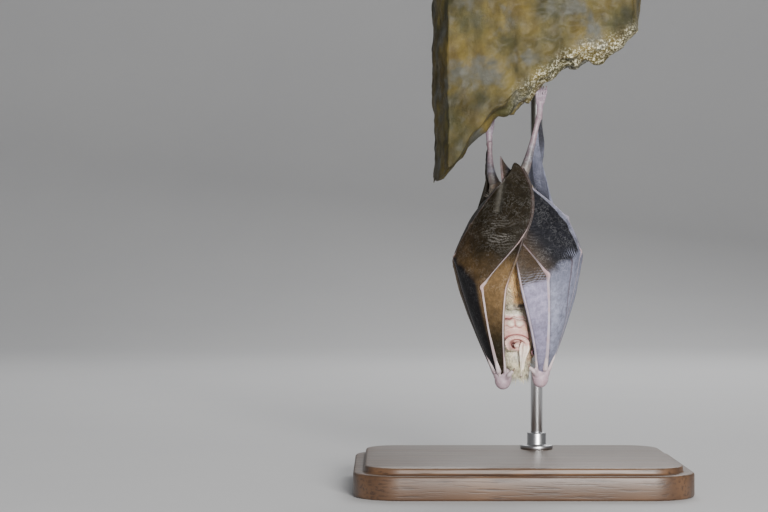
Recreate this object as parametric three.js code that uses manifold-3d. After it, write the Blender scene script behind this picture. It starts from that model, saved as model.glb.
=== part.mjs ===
// A lesser horseshoe bat asleep under a piece of cave roof, wrapped in its wings, on a display stand.
// Millimetres, +Z up. The belly faces -Y and the bat's right side faces +X, so its left faces -X.
// The bat hangs head down: wrists and crown are lowest, feet are highest.
import * as THREE from "three";
import { mergeVertices } from "three/addons/utils/BufferGeometryUtils.js";
import Module from "manifold-3d";

const wasm = await Module();
wasm.setup();

const V = (x, y, z) => new THREE.Vector3(x, y, z);

// ---- Driving dimensions ----

const GAP = 0.3; // clearance between sub-parts that touch
const MEMBRANE = 0.6; // thickness of a wing or tail membrane
const TOUCH = 1e-3; // common volume, in cubic millimetres, above which one sub-part is cut back
const FACETING = 0.04; // how far merged facets may leave the true surface

// The stand: a flat base centred on the origin, and one rod up into the rock.
const BASE = { width: 66, depth: 52, height: 6, corner: 9, bevel: 0.4, step: 2.2, lip: 1.3 };
const ROD = { x: 5, y: 15.5, radius: 1.25, socket: 6 };
const COLLAR = { foot: 3.4, waist: 2, flange: 0.6, height: 3.2 };

// The perch: a cut piece of cave roof. Its underside climbs from left to right.
const ROCK = { left: -17, right: 25, front: -10, back: 20, top: 100 };
ROCK.rounding = 0.22; // how far its sides curve in towards the corners
ROCK.lump = 0.7; // height of the lumps on its underside
ROCK.backRise = 0.1; // climb of the underside towards the back
ROCK.edge = 2.4; // how far its faces turn in at the rim
const ROOF = [
  V(-17.5, 0, 56.8),
  V(-12.8, 0, 62.6),
  V(-9.6, 0, 68.4),
  V(-5.6, 0, 72.6),
  V(0, 0, 76.2),
  V(5.2, 0, 80),
  V(8.8, 0, 83.2),
  V(16.2, 0, 84.8),
  V(25.5, 0, 89.4),
];

// The upright axis that the wings wrap round.
const AXIS = { x: -0.5, y: 1 };

// Sections of the body from below: height, front, back and half width, fur included.
const HEAD_X = -0.4;
const HEAD = [
  [22.9, -2.6, 3.6, 1.7],
  [24.2, -4.4, 5.8, 3.1],
  [26.6, -5.9, 7.2, 4.2],
  [29.4, -6.6, 7.8, 4.6],
  [32.4, -6.6, 7.6, 4.6],
  [34.8, -6.2, 7, 4.4],
  [36.6, -6, 6.6, 4.1],
];
const NECK = [
  [36.9, -6.4, 6.6, 4.1],
  [38.6, -7.9, 6.6, 4.5],
  [40.4, -9.2, 6.9, 5.2],
];
const TRUNK = [
  [40.7, -9.3, 7, 5.2],
  [44, -9.8, 8.2, 6.4],
  [49, -8.4, 8.9, 7],
  [54, -6, 9, 6.7],
  [58, -4.2, 8.4, 5.1],
  [60.8, -2.4, 7.2, 4],
  [63, -0.2, 5.4, 2.4],
];
const MUZZLE = { y: -5.3, z: 33, half: 2.7, depth: 2.5, height: 2.5 };

// The nose leaf stands on the face with its point towards the crown.
const LEAF = { y: -7.1, z: 29.4, width: 5.4, height: 5.2, thick: 0.8, point: 22.3, base: 2.3 };
const EYE = { apart: 3.35, y: -4.6, z: 27.2, radius: 0.65 };
const EAR = { length: 14.5, half: 3.1, y: 5, z: 26.4, apart: 3.2, lean: 0.3 };

// Bones of a digit take these shares of its line: metacarpal, first phalanx, second phalanx.
const KNUCKLE = 0.45;
const JOINT = 0.68;
const BOW = 0.035; // outward bow of each bone, as a share of its length
const EDGE_BOW = 0.065; // the same for the second digit, which passes in front of the cheek
const BONE = { metacarpal: 0.6, tip: 0.32, knuckle: 0.85, joint: 0.62, spread: 0.035, second: 0.38 };
const WEB = [0.2, 0.32, KNUCKLE, 0.56, JOINT, 0.78, 0.88]; // stations along a membrane
const WRIST = { radius: 1.65, stretch: 1.15 };
const FOREARM = { wrist: 0.8, elbow: 1.2, bow: 0.036, level: 0.7 }; // level: share at knuckle height

const RIGHT = {
  side: 1,
  edge: -0.7, // from the wrist to the root of the second digit
  wrist: V(4.2, -3.4, 21.9),
  thumb: V(1.9, -6.1, 24.4),
  elbow: V(6.3, 9.4, 55.2),
  shoulder: V(5, 5.6, 39),
  knuckle2: V(-0.4, -11.4, 41),
  knuckle3: V(5.2, -10.5, 42.7),
  knuckle4: V(12, -4.4, 47.3),
  knuckle5: V(12.7, 0.9, 45.5),
  joint3: V(-2.2, -8.9, 51.8),
  joint4: V(9.5, -3.4, 54.1),
  joint5: V(9.3, 4.2, 52.4),
  tip3: V(-3.4, -1.5, 67),
  tip4: V(0.4, -4.9, 61.5),
  tip5: V(6.7, 5, 57.8),
  bend3: V(0, 0, 0),
  flank: V(-2, -1.4, 0),
  knee: V(1.9, 3.6, 64.6),
  ankle: V(4.6, 3.2, 74.4),
  toes: V(4.9, 2.4, 80.6),
};
const LEFT = {
  side: -1,
  edge: -0.3,
  wrist: V(-3.1, -3.4, 21.5),
  thumb: V(-1.3, -6.3, 23.6),
  elbow: V(-6.7, 9.4, 54.6),
  shoulder: V(-5.8, 5.6, 38.6),
  knuckle2: V(-2.6, -12.3, 40),
  knuckle3: V(-7.6, -10.2, 40.4),
  knuckle4: V(-12.7, -3.9, 46.2),
  knuckle5: V(-12.5, 1.4, 44.4),
  joint3: V(0.4, -11.7, 50.1),
  joint4: V(-9.6, -4.8, 52.4),
  joint5: V(-9.4, 4.3, 52.4),
  tip3: V(0.2, -5.4, 64.4),
  tip4: V(-2.8, -6.3, 62),
  tip5: V(-5.7, 5.8, 58.4),
  bend3: V(1.9, 0, 0),
  flank: V(0.6, -1.6, 0),
  knee: V(-5, 4.4, 63),
  ankle: V(-5.4, 5.4, 69),
  toes: V(-5.6, 5.3, 74.6),
};
const LEG = { knee: 1.15, ankle: 0.6, hip: V(0, 0.6, -5), rise: 0.6 };
const FOOT = { toes: 5, span: 1.5, toe: 0.27, sole: 0.66, curl: 1.1 };
const TAIL = [V(-0.6, 5.4, 63), V(-0.6, 8.8, 62.6), V(-0.6, 11, 56), V(-0.6, 11.3, 43)];
const TAIL_RADIUS = 0.55;

// ---- Materials ----

const finish = (color, roughness, metalness = 0) =>
  new THREE.MeshStandardMaterial({ color, roughness, metalness });
const MATERIALS = {
  fur: finish(0xb59a68, 0.9),
  face: finish(0xcfa597, 0.6),
  membrane: finish(0x8a7d80, 0.6),
  bone: finish(0xb9a39a, 0.55),
  eye: finish(0x0c0a09, 0.15),
  rock: finish(0x9c8348, 0.85),
  wood: finish(0x4a3323, 0.5),
  steel: finish(0x9a9ca0, 0.35, 1),
};

// ---- Shape helpers ----

// A closed geometry from points and triangles, turned to face outwards.
function closed(points, faces) {
  let volume = 0;
  for (const [a, b, c] of faces) volume += points[a].dot(points[b].clone().cross(points[c]));
  if (volume < 0) faces.forEach((face) => face.reverse());
  return new THREE.BufferGeometry().setFromPoints(points).setIndex(faces.flat());
}

// Rings of equal count skinned into one closed form, each end closed on its middle.
function loft(rings) {
  const count = rings[0].length;
  const points = rings.flat();
  const faces = [];
  for (let ring = 0; ring + 1 < rings.length; ring++)
    for (let k = 0; k < count; k++) {
      const a = ring * count + k;
      const b = ring * count + ((k + 1) % count);
      faces.push([a, b, a + count], [b, b + count, a + count]);
    }
  for (const [ring, flip] of [
    [0, true],
    [rings.length - 1, false],
  ]) {
    const middle = rings[ring].reduce((sum, p) => sum.add(p), V(0, 0, 0)).divideScalar(count);
    points.push(middle);
    for (let k = 0; k < count; k++) {
      const a = ring * count + k;
      const b = ring * count + ((k + 1) % count);
      faces.push(flip ? [b, a, points.length - 1] : [a, b, points.length - 1]);
    }
  }
  return closed(points, faces);
}

// Direction of line at v.
const heading = (line, v) =>
  line(Math.min(v + 0.01, 1))
    .sub(line(Math.max(v - 0.01, 0)))
    .normalize();

// A rod along line(v), with radius(v), through the stations v.
function tube(line, radius, stations, sides = 7) {
  const rings = [];
  let across = V(1, 0, 0);
  for (const v of stations) {
    const tangent = heading(line, v);
    across = across.clone().addScaledVector(tangent, -across.dot(tangent)).normalize();
    const up = tangent.clone().cross(across);
    const ring = [];
    for (let k = 0; k < sides; k++) {
      const turn = (2 * Math.PI * k) / sides;
      ring.push(
        line(v)
          .addScaledVector(across, radius(v) * Math.cos(turn))
          .addScaledVector(up, radius(v) * Math.sin(turn)),
      );
    }
    rings.push(ring);
  }
  return loft(rings);
}

const steps = (count, from = 0, to = 1) =>
  Array.from({ length: count + 1 }, (_, k) => from + ((to - from) * k) / count);

// A closed slab between two surfaces that share their (u, v) grid.
function slab(upper, lower, us, vs) {
  const points = [];
  const faces = [];
  const [columns, rows] = [us.length - 1, vs.length - 1];
  const across = us.length;
  const layer = across * vs.length;
  for (const surface of [upper, lower])
    for (const v of vs) for (const u of us) points.push(surface(u, v));
  const quad = (a, b, c, d) => faces.push([a, b, c], [a, c, d]);
  for (let row = 0; row < rows; row++)
    for (let column = 0; column < columns; column++) {
      const a = row * across + column;
      quad(a, a + 1, a + across + 1, a + across);
      quad(layer + a, layer + a + across, layer + a + across + 1, layer + a + 1);
    }
  const rim = [];
  for (let k = 0; k < columns; k++) rim.push(k);
  for (let k = 0; k < rows; k++) rim.push(columns + k * across);
  for (let k = columns; k > 0; k--) rim.push(rows * across + k);
  for (let k = rows; k > 0; k--) rim.push(k * across);
  rim.forEach((a, k) => {
    const b = rim[(k + 1) % rim.length];
    quad(b, a, layer + a, layer + b);
  });
  return closed(points, faces);
}

// A sheet of even thickness whose middle is point(u, v).
function sheet(point, thickness, us, vs) {
  const [first, last] = [vs[0], vs[vs.length - 1]];
  const normal = (u, v) => {
    const step = 0.02;
    const alongU = point(Math.min(u + step, 1), v).sub(point(Math.max(u - step, 0), v));
    const alongV = point(u, Math.min(v + step, last)).sub(point(u, Math.max(v - step, first)));
    return alongU.cross(alongV).normalize();
  };
  const offset = (share) => (u, v) =>
    point(u, v).addScaledVector(normal(u, v), (share * thickness) / 2);
  return slab(offset(1), offset(-1), us, vs);
}

// A body form from sections of height, front, back and half width, grown by the clearance.
function sections(list, x, grow, sides = 14) {
  const rings = list.map(([z, front, back, half], k) => {
    const middle = (front + back) / 2;
    const depth = (back - front) / 2 + grow;
    const height = k === 0 ? z - grow : k === list.length - 1 ? z + grow : z;
    return steps(sides)
      .slice(1)
      .map((turn) => {
        const angle = 2 * Math.PI * turn;
        return V(x + (half + grow) * Math.cos(angle), middle + depth * Math.sin(angle), height);
      });
  });
  return loft(rings);
}

function ball(centre, radii, grow, detail) {
  const geometry = new THREE.SphereGeometry(1, detail, Math.round(detail * 0.6));
  geometry.scale(radii.x + grow, radii.y + grow, radii.z + grow);
  return geometry.translate(centre.x, centre.y, centre.z);
}

// ---- Solids, cuts and joins ----

function solid(geometry) {
  geometry.deleteAttribute("normal");
  geometry.deleteAttribute("uv");
  const merged = mergeVertices(geometry, 1e-4);
  return new wasm.Manifold(
    new wasm.Mesh({
      numProp: 3,
      vertProperties: merged.attributes.position.array,
      triVerts: new Uint32Array(merged.index.array),
    }),
  );
}

const joined = (...geometries) => geometries.map(solid).reduce((a, b) => a.add(b));

function geometryOf(body) {
  const mesh = body.getMesh();
  return new THREE.BufferGeometry()
    .setAttribute("position", new THREE.BufferAttribute(new Float32Array(mesh.vertProperties), 3))
    .setIndex(new THREE.BufferAttribute(new Uint32Array(mesh.triVerts), 1));
}

const model = new THREE.Group();
const stand = new THREE.Group();
const bat = new THREE.Group();
model.add(stand, bat);
const made = []; // each sub-part so far: its form, and the room it needs with clearance

const near = (a, b) =>
  [0, 1, 2].every((k) => a.min[k] <= b.max[k] && b.min[k] <= a.max[k]);

// Adds a sub-part. shape(grow) gives it as a solid, and it gives way to all that came before it.
function part(group, name, material, shape) {
  let body = shape(0);
  const box = body.boundingBox();
  for (const { form, room } of made)
    if (near(box, form.boundingBox()) && body.intersect(form).volume() > TOUCH)
      body = body.subtract(room);
  const pieces = body.simplify(FACETING).decompose();
  const [largest] = pieces.sort((a, b) => b.volume() - a.volume());
  const mesh = new THREE.Mesh(geometryOf(largest), material);
  mesh.name = name;
  group.add(mesh);
  made.push({ form: largest, room: shape(GAP) });
}

// ---- Stand and perch ----

// A rounded slab between two heights, smaller than the base by inset all round.
function plate(inset, low, high) {
  const { width, depth, corner, bevel } = BASE;
  const [x, y] = [width / 2 - inset - bevel, depth / 2 - inset - bevel];
  const round = corner - inset - bevel;
  const outline = new THREE.Shape();
  outline.absarc(x - round, y - round, round, 0, Math.PI / 2);
  outline.absarc(round - x, y - round, round, Math.PI / 2, Math.PI);
  outline.absarc(round - x, round - y, round, Math.PI, 1.5 * Math.PI);
  outline.absarc(x - round, round - y, round, 1.5 * Math.PI, 2 * Math.PI);
  const geometry = new THREE.ExtrudeGeometry(outline, {
    depth: high - low - 2 * bevel,
    bevelThickness: bevel,
    bevelSize: bevel,
    bevelSegments: 1,
    curveSegments: 5,
  });
  return geometry.translate(0, 0, low + bevel);
}

// The base: a wide slab and a smaller one on it, which leaves a step round the edge.
function basePlate() {
  const { height, step, lip } = BASE;
  return joined(plate(0, 0, height - lip), plate(step, height - 2 * lip, height));
}

const roofLine = new THREE.CatmullRomCurve3(ROOF, false, "centripetal");
const roofPoints = roofLine.getPoints(80);

// Height of the rock's underside at (x, y), with shallow lumps.
function roof(x, y) {
  const after = Math.max(1, roofPoints.findIndex((p) => p.x > x));
  const [a, b] = [roofPoints[after - 1], roofPoints[after]];
  const z = a.z + ((b.z - a.z) * (x - a.x)) / (b.x - a.x);
  const lumps = Math.sin(0.9 * x + 0.4 * y) * Math.cos(0.7 * y - 0.5 * x);
  return z + ROCK.backRise * (y - ROCK.front) + ROCK.lump * lumps;
}

// The rod, with a turned collar at its foot.
function rodBar(grow) {
  const top = roof(ROD.x, ROD.y) + ROD.socket + grow;
  const foot = BASE.height + GAP;
  const disc = (radius, low, high) =>
    new THREE.CylinderGeometry(radius + grow, radius + grow, high - low, 20)
      .rotateX(Math.PI / 2)
      .translate(ROD.x, ROD.y, (low + high) / 2);
  return joined(
    disc(ROD.radius, foot - grow, top),
    disc(COLLAR.foot, foot - grow, foot + COLLAR.flange),
    disc(COLLAR.waist, foot, foot + COLLAR.height),
  );
}

// The cut block: rounded in plan, with its top sawn nearly level.
function rockBlock() {
  const [halfX, halfY] = [(ROCK.right - ROCK.left) / 2, (ROCK.back - ROCK.front) / 2];
  const [midX, midY] = [(ROCK.right + ROCK.left) / 2, (ROCK.back + ROCK.front) / 2];
  const plan = (u, v) => {
    const [a, b] = [2 * u - 1, 2 * v - 1];
    return [
      midX + halfX * a * Math.sqrt(1 - ROCK.rounding * b * b),
      midY + halfY * b * Math.sqrt(1 - ROCK.rounding * a * a),
    ];
  };
  const edge = (u, v) => Math.max(Math.abs(2 * u - 1), Math.abs(2 * v - 1)) ** 6;
  const lower = (u, v) => {
    const [x, y] = plan(u, v);
    return V(x, y, roof(x, y) + ROCK.edge * edge(u, v));
  };
  const upper = (u, v) => {
    const [x, y] = plan(u, v);
    return V(x, y, ROCK.top - ROCK.edge * edge(u, v));
  };
  return slab(upper, lower, steps(10), steps(6));
}

// ---- Lines that the wings and legs follow ----

// Unit vector level and straight out from the wings' axis at p.
const outward = (p) => V(p.x - AXIS.x, p.y - AXIS.y, 0).normalize();

// A digit's line over its bones, each bowed outwards, the last one also bent sideways.
function chain(joints, bend = V(0, 0, 0), bow = BOW) {
  const breaks = [0, KNUCKLE, JOINT, 1];
  return (v) => {
    let bone = 0;
    while (bone < joints.length - 2 && v > breaks[bone + 1]) bone++;
    const t = (v - breaks[bone]) / (breaks[bone + 1] - breaks[bone]);
    const [a, b] = [joints[bone], joints[bone + 1]];
    const rise = 4 * t * (1 - t);
    const p = a.clone().lerp(b, t);
    if (bone === 2) p.addScaledVector(bend, rise);
    return p.addScaledVector(outward(p), bow * a.distanceTo(b) * rise);
  };
}

function straight(a, b, bow = 0) {
  return (v) => {
    const p = a.clone().lerp(b, v);
    return p.addScaledVector(outward(p), bow * a.distanceTo(b) * 4 * v * (1 - v));
  };
}

const smooth = (points) => {
  const curve = new THREE.CatmullRomCurve3(points, false, "centripetal");
  return (v) => curve.getPoint(v);
};

// All the lines of one wing, from the wrist outwards.
function wingLines(w) {
  const from = (x, y, z) => w.wrist.clone().add(V(w.side * x, y, z));
  const forearm = straight(from(0, 1, 0.6), w.elbow, FOREARM.bow);
  return {
    forearm,
    digit2: chain([from(w.edge, -1.3, 1.3), w.knuckle2, w.joint3], V(0, 0, 0), EDGE_BOW),
    digit3: chain([from(0.9, -1.6, 1.4), w.knuckle3, w.joint3, w.tip3], w.bend3),
    digit4: chain([from(1.5, -0.4, 1.3), w.knuckle4, w.joint4, w.tip4]),
    digit5: chain([from(1.4, 1, 0.9), w.knuckle5, w.joint5, w.tip5]),
    upperArm: straight(w.elbow, w.shoulder, 0),
    arm: chain([from(0, 1, 0.6), forearm(FOREARM.level), w.elbow, w.ankle], w.flank, 0),
    leg: smooth([w.knee.clone().add(LEG.hip), w.knee, w.ankle.clone().add(V(0, 0, LEG.rise))]),
  };
}

const boneStations = [
  ...steps(5, 0, KNUCKLE - BONE.spread),
  KNUCKLE,
  ...steps(1, KNUCKLE + BONE.spread, JOINT - BONE.spread),
  JOINT,
  ...steps(4, JOINT + BONE.spread, 1),
];

// Radius along a digit: thinning to the tip, with a swelling at each joint.
function boneRadius(v) {
  const swelling = (at, size) => {
    const distance = Math.abs(v - at) / BONE.spread;
    return distance < 1 ? size * (1 - distance) : 0;
  };
  const shaft = THREE.MathUtils.lerp(BONE.metacarpal, BONE.tip, v);
  const knuckle = swelling(KNUCKLE, BONE.knuckle - shaft);
  return shaft + Math.max(0, knuckle, swelling(JOINT, BONE.joint - shaft));
}

// How far along a chord a membrane starts, to keep its clearance from a bone that it meets aslant.
function inset(line, radius, v, chord, grow) {
  const slant = chord.clone().cross(heading(line, v)).length();
  return (radius(v) + GAP - grow) / Math.max(slant, 0.4);
}

// A membrane stretched between two bones' lines. It starts clear of each bone, bulges outwards
// and has a hollow free edge where it ends.
function membrane([a, radiusA], [b, radiusB], stations, columns, bulge, scallop = 0) {
  const last = stations[stations.length - 1];
  const middleOf = (grow) => (u, v) => {
    const middle = 4 * u * (1 - u);
    const along = v - scallop * middle * (v / last) ** 4;
    const [start, end] = [a(along), b(along)];
    const width = start.distanceTo(end);
    const chord = end.clone().sub(start).divideScalar(width);
    const clear = [inset(a, radiusA, along, chord, grow), inset(b, radiusB, along, chord, grow)];
    const share = THREE.MathUtils.lerp(clear[0] / width, 1 - clear[1] / width, u);
    const p = start.lerp(end, share);
    return p.addScaledVector(outward(p), bulge * width * middle * (1 - (v / last) ** 6));
  };
  return (grow) => solid(sheet(middleOf(grow), MEMBRANE + 2 * grow, steps(columns), stations));
}

// ---- Limbs ----

function wristKnob(w, grow) {
  const radii = V(WRIST.radius, WRIST.radius, WRIST.radius * WRIST.stretch);
  const root = w.wrist.clone().add(V(-w.side * 0.6, -1, 0.2));
  const thumb = tube(straight(root, w.thumb), (v) => 0.45 - 0.15 * v + grow, steps(3), 6);
  return joined(ball(w.wrist, radii, grow, 10), thumb);
}

// A foot: a sole along the leg's line and five toes that spread and hook into the rock.
function foot(w, grow) {
  const heel = w.ankle.clone().add(V(0, 0, 0.5));
  const palm = w.ankle.clone().lerp(w.toes, 0.5);
  const pieces = [tube(straight(heel, palm), () => FOOT.sole + grow, steps(2), 8)];
  for (let toe = 0; toe < FOOT.toes; toe++) {
    const share = toe / (FOOT.toes - 1) - 0.5;
    const root = palm.clone().add(V(share * 1.1, 0, -0.3));
    const bend = w.toes.clone().add(V(share * FOOT.span, -0.35, -0.7));
    const claw = w.toes.clone().add(V(share * FOOT.span, FOOT.curl * 0.4, 0.5));
    const radius = (v) => FOOT.toe * (1.15 - 0.5 * v) + grow;
    pieces.push(tube(smooth([root, bend, claw]), radius, steps(3), 4));
  }
  return joined(...pieces);
}

function legShape(lines, grow) {
  const radius = (v) => THREE.MathUtils.lerp(LEG.knee, LEG.ankle, Math.min(1, v * 1.3)) + grow;
  return solid(tube(lines.leg, radius, steps(6), 8));
}

// ---- Face ----

// The horseshoe plate, the sella that stands on it, and the pointed lancet.
function noseLeaf(grow) {
  const shoe = ball(V(HEAD_X, LEAF.y, LEAF.z), V(LEAF.width / 2, LEAF.thick, LEAF.height / 2), grow, 12);
  const sella = ball(V(HEAD_X, LEAF.y - 0.9, LEAF.z - 0.4), V(0.5, 1, 1.2), grow, 8);
  const from = V(HEAD_X, LEAF.y + 0.3, LEAF.z - 0.6);
  const to = V(HEAD_X + 0.5, LEAF.y + 1.6, LEAF.point);
  const lancet = tube(straight(from, to), (v) => (LEAF.base / 2) * (1.02 - v) + grow, steps(2), 6);
  return joined(shoe, sella, lancet);
}

function headForm(grow) {
  const muzzle = ball(
    V(HEAD_X - 0.2, MUZZLE.y, MUZZLE.z),
    V(MUZZLE.half, MUZZLE.depth, MUZZLE.height),
    grow,
    10,
  );
  return joined(sections(HEAD, HEAD_X, grow), muzzle);
}

// A pointed ear folded back along the head, cupped across its width.
function earShape(side) {
  const root = V(HEAD_X + side * EAR.apart, EAR.y, EAR.z);
  const point = (u, v) => {
    const across = (2 * u - 1) * EAR.half * Math.sin(Math.PI * (0.2 + 0.78 * v) ** 0.8);
    const rise = EAR.length * v;
    const cup = 0.16 * across * across;
    return V(
      root.x + side * (0.9 + 0.05 * rise - cup),
      root.y + rise * EAR.lean + across * 0.85,
      root.z + rise * Math.sqrt(1 - EAR.lean ** 2) - across * 0.5,
    );
  };
  return (grow) => solid(sheet(point, MEMBRANE + 2 * grow, steps(4), steps(6)));
}

// ---- Assembly: each sub-part gives way to the ones before it ----

const wings = [
  ["left", LEFT, wingLines(LEFT)],
  ["right", RIGHT, wingLines(RIGHT)],
];
const tailLine = smooth(TAIL);

part(stand, "stand_base", MATERIALS.wood, basePlate);
part(stand, "stand_rod", MATERIALS.steel, rodBar);
for (const [name, w] of wings) part(bat, "foot_" + name, MATERIALS.bone, (grow) => foot(w, grow));
part(stand, "perch_rock", MATERIALS.rock, () => solid(rockBlock()));

for (const [name, w, lines] of wings) {
  const eye = V(HEAD_X + w.side * EYE.apart, EYE.y, EYE.z);
  const digit = (line, end) => (grow) =>
    solid(tube(line, (v) => boneRadius(v) + grow, boneStations.filter((v) => v <= end), 7));
  part(bat, "eye_" + name, MATERIALS.eye, (grow) =>
    solid(ball(eye, V(EYE.radius, EYE.radius, EYE.radius), grow, 8)),
  );
  part(bat, "wrist_" + name, MATERIALS.bone, (grow) => wristKnob(w, grow));
  part(bat, "digit_2_" + name, MATERIALS.bone, (grow) =>
    solid(tube(lines.digit2, () => BONE.second + grow, steps(5, 0, KNUCKLE), 6)),
  );
  part(bat, "digit_3_" + name, MATERIALS.bone, digit(lines.digit3, 1));
  part(bat, "digit_4_" + name, MATERIALS.bone, digit(lines.digit4, 1));
  part(bat, "digit_5_" + name, MATERIALS.bone, digit(lines.digit5, 1));
  part(bat, "forearm_" + name, MATERIALS.bone, (grow) => {
    const radius = (v) => THREE.MathUtils.lerp(FOREARM.wrist, FOREARM.elbow, v * v) + grow;
    return solid(tube(lines.forearm, radius, steps(8), 8));
  });
  part(bat, "leg_" + name, MATERIALS.bone, (grow) => legShape(lines, grow));
}

part(bat, "tail", MATERIALS.bone, (grow) =>
  solid(tube(tailLine, (v) => TAIL_RADIUS * (1.2 - 0.6 * v) + grow, steps(12), 7)),
);
part(bat, "noseleaf", MATERIALS.face, noseLeaf);
part(bat, "head", MATERIALS.fur, headForm);
part(bat, "neck", MATERIALS.fur, (grow) => solid(sections(NECK, HEAD_X, grow)));
part(bat, "trunk", MATERIALS.fur, (grow) => solid(sections(TRUNK, AXIS.x, grow)));

for (const [name, w, lines] of wings) {
  part(bat, "upper_arm_" + name, MATERIALS.fur, (grow) => {
    const radius = (v) => 1.1 + 0.5 * v + grow;
    return solid(tube(lines.upperArm, radius, steps(4, 0.08, 0.95), 8));
  });
  part(bat, "ear_" + name, MATERIALS.membrane, earShape(w.side));
}

// Stations of a membrane along its bones, and the radius of each bone there.
const along = (from, to) => [from, ...WEB.filter((v) => v > from && v < to), to];
const even = (radius) => () => radius;
for (const [name, , lines] of wings) {
  const skin = (label, shape) => part(bat, label + "_" + name, MATERIALS.membrane, shape);
  const [second, third, fourth, fifth] = [
    [lines.digit2, even(BONE.second)],
    [lines.digit3, boneRadius],
    [lines.digit4, boneRadius],
    [lines.digit5, boneRadius],
  ];
  const arm = [lines.arm, even(FOREARM.elbow)];
  const leg = [lines.leg, even(LEG.knee)];
  const tailBone = [tailLine, even(TAIL_RADIUS)];
  skin("membrane_2_3", membrane(second, third, along(0.07, JOINT - 0.04), 2, 0.03));
  skin("membrane_3_4", membrane(third, fourth, along(0.07, 0.96), 6, 0.13, 0.02));
  skin("membrane_4_5", membrane(fourth, fifth, along(0.14, 0.96), 3, 0.08, 0.05));
  skin("membrane_flank", membrane(fifth, arm, along(0.17, 0.98), 4, 0.08, 0.03));
  skin("membrane_tail", membrane(leg, tailBone, steps(6, 0.4, 0.97), 4, 0.17));
}

export default model;
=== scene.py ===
# %% [markdown]
# A lesser horseshoe bat asleep under a piece of cave roof, as a life-size museum model.
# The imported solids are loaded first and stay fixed. Every piece below is made around them, in the
# same place: +Z is up, the belly faces -Y and the bat's right side faces +X. It hangs head down,
# so the crown is low and the feet are high.

import bpy
import numpy as np
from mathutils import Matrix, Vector


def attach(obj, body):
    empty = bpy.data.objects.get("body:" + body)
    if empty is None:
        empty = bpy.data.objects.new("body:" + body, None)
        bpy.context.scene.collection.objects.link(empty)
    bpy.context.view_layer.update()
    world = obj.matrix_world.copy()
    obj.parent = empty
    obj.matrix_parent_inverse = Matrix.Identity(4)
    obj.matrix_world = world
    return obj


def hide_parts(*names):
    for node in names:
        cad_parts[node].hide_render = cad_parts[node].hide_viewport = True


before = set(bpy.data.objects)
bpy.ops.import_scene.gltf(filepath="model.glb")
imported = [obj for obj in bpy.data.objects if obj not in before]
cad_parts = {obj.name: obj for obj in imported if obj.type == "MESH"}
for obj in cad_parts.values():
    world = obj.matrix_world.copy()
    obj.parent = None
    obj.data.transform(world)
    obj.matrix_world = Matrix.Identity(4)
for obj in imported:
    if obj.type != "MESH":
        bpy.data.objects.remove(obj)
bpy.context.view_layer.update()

MM = 0.001  # the working unit below is the millimetre

# %% [markdown]
# Numbers that several pieces share come first. They are the same named values as in the solids:
# the bones of each wing, the sections of the body and the line of the rock's underside.

# %% Bones and sections
def point(x, y, z):
    return np.array([x, y, z], float)


AXIS = point(-0.5, 1, 0)  # the wings wrap round this upright axis
KNUCKLE, JOINT = 0.45, 0.68  # where a digit's first and second joint lie along its line
BOW, EDGE_BOW = 0.035, 0.065  # how far bones bow outwards, as a share of their length

RIGHT = dict(
    name="right", side=1, edge=-0.7, crest=0.02, aside=0.25,
    wrist=point(4.2, -3.4, 21.9), thumb=point(1.9, -6.1, 24.4),
    elbow=point(6.3, 9.4, 55.2), shoulder=point(5, 5.6, 39),
    knuckles=[point(-0.4, -11.4, 41), point(5.2, -10.5, 42.7), point(12, -4.4, 47.3), point(12.7, 0.9, 45.5)],
    joints=[None, point(-2.2, -8.9, 51.8), point(9.5, -3.4, 54.1), point(9.3, 4.2, 52.4)],
    tips=[None, point(-3.4, -1.5, 67), point(0.4, -4.9, 61.5), point(6.7, 5, 57.8)],
    bend=point(0, 0, 0), flank=point(-2, -1.4, 0),
    knee=point(1.9, 3.6, 64.6), ankle=point(4.6, 3.2, 74.4), toes=point(4.9, 2.4, 80.6),
)
LEFT = dict(
    name="left", side=-1, edge=-0.3, crest=-0.05, aside=0.6,
    wrist=point(-3.1, -3.4, 21.5), thumb=point(-1.3, -6.3, 23.6),
    elbow=point(-6.7, 9.4, 54.6), shoulder=point(-5.8, 5.6, 38.6),
    knuckles=[
        point(-2.6, -12.3, 40), point(-7.6, -10.2, 40.4), point(-12.7, -3.9, 46.2), point(-12.5, 1.4, 44.4),
    ],
    joints=[None, point(0.4, -11.7, 50.1), point(-9.6, -4.8, 52.4), point(-9.4, 4.3, 52.4)],
    tips=[None, point(0.2, -5.4, 64.4), point(-2.8, -6.3, 62), point(-5.7, 5.8, 58.4)],
    bend=point(1.9, 0, 0), flank=point(0.6, -1.6, 0),
    knee=point(-5, 4.4, 63), ankle=point(-5.4, 5.4, 69), toes=point(-5.6, 5.3, 74.6),
)
# Where each digit leaves the wrist, from the wrist's middle, counted towards the wing's own side.
DIGIT_ROOTS = [point(0, -1.3, 1.3), point(0.9, -1.6, 1.4), point(1.5, -0.4, 1.3), point(1.4, 1, 0.9)]
FOREARM_ROOT = point(0, 1, 0.6)

# The body's outline with its coat, from below: height, front, back, half width.
BODY = np.array([
    [22.9, -2.6, 3.6, 1.7], [24.2, -4.4, 5.8, 3.1], [26.6, -5.9, 7.2, 4.2], [29.4, -6.6, 7.8, 4.6],
    [32.4, -6.6, 7.6, 4.6], [34.8, -6.2, 7, 4.4], [36.8, -6.4, 6.6, 4.1], [38.6, -7.9, 6.6, 4.5],
    [40.6, -9.3, 6.9, 5.2], [44, -9.8, 8.2, 6.4], [49, -8.4, 8.9, 7], [54, -6, 9, 6.7],
    [58, -4.2, 8.4, 5.1], [60.8, -2.4, 7.2, 4], [63, -0.2, 5.4, 2.4],
])
HEAD_X = -0.4  # the head's middle
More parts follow.
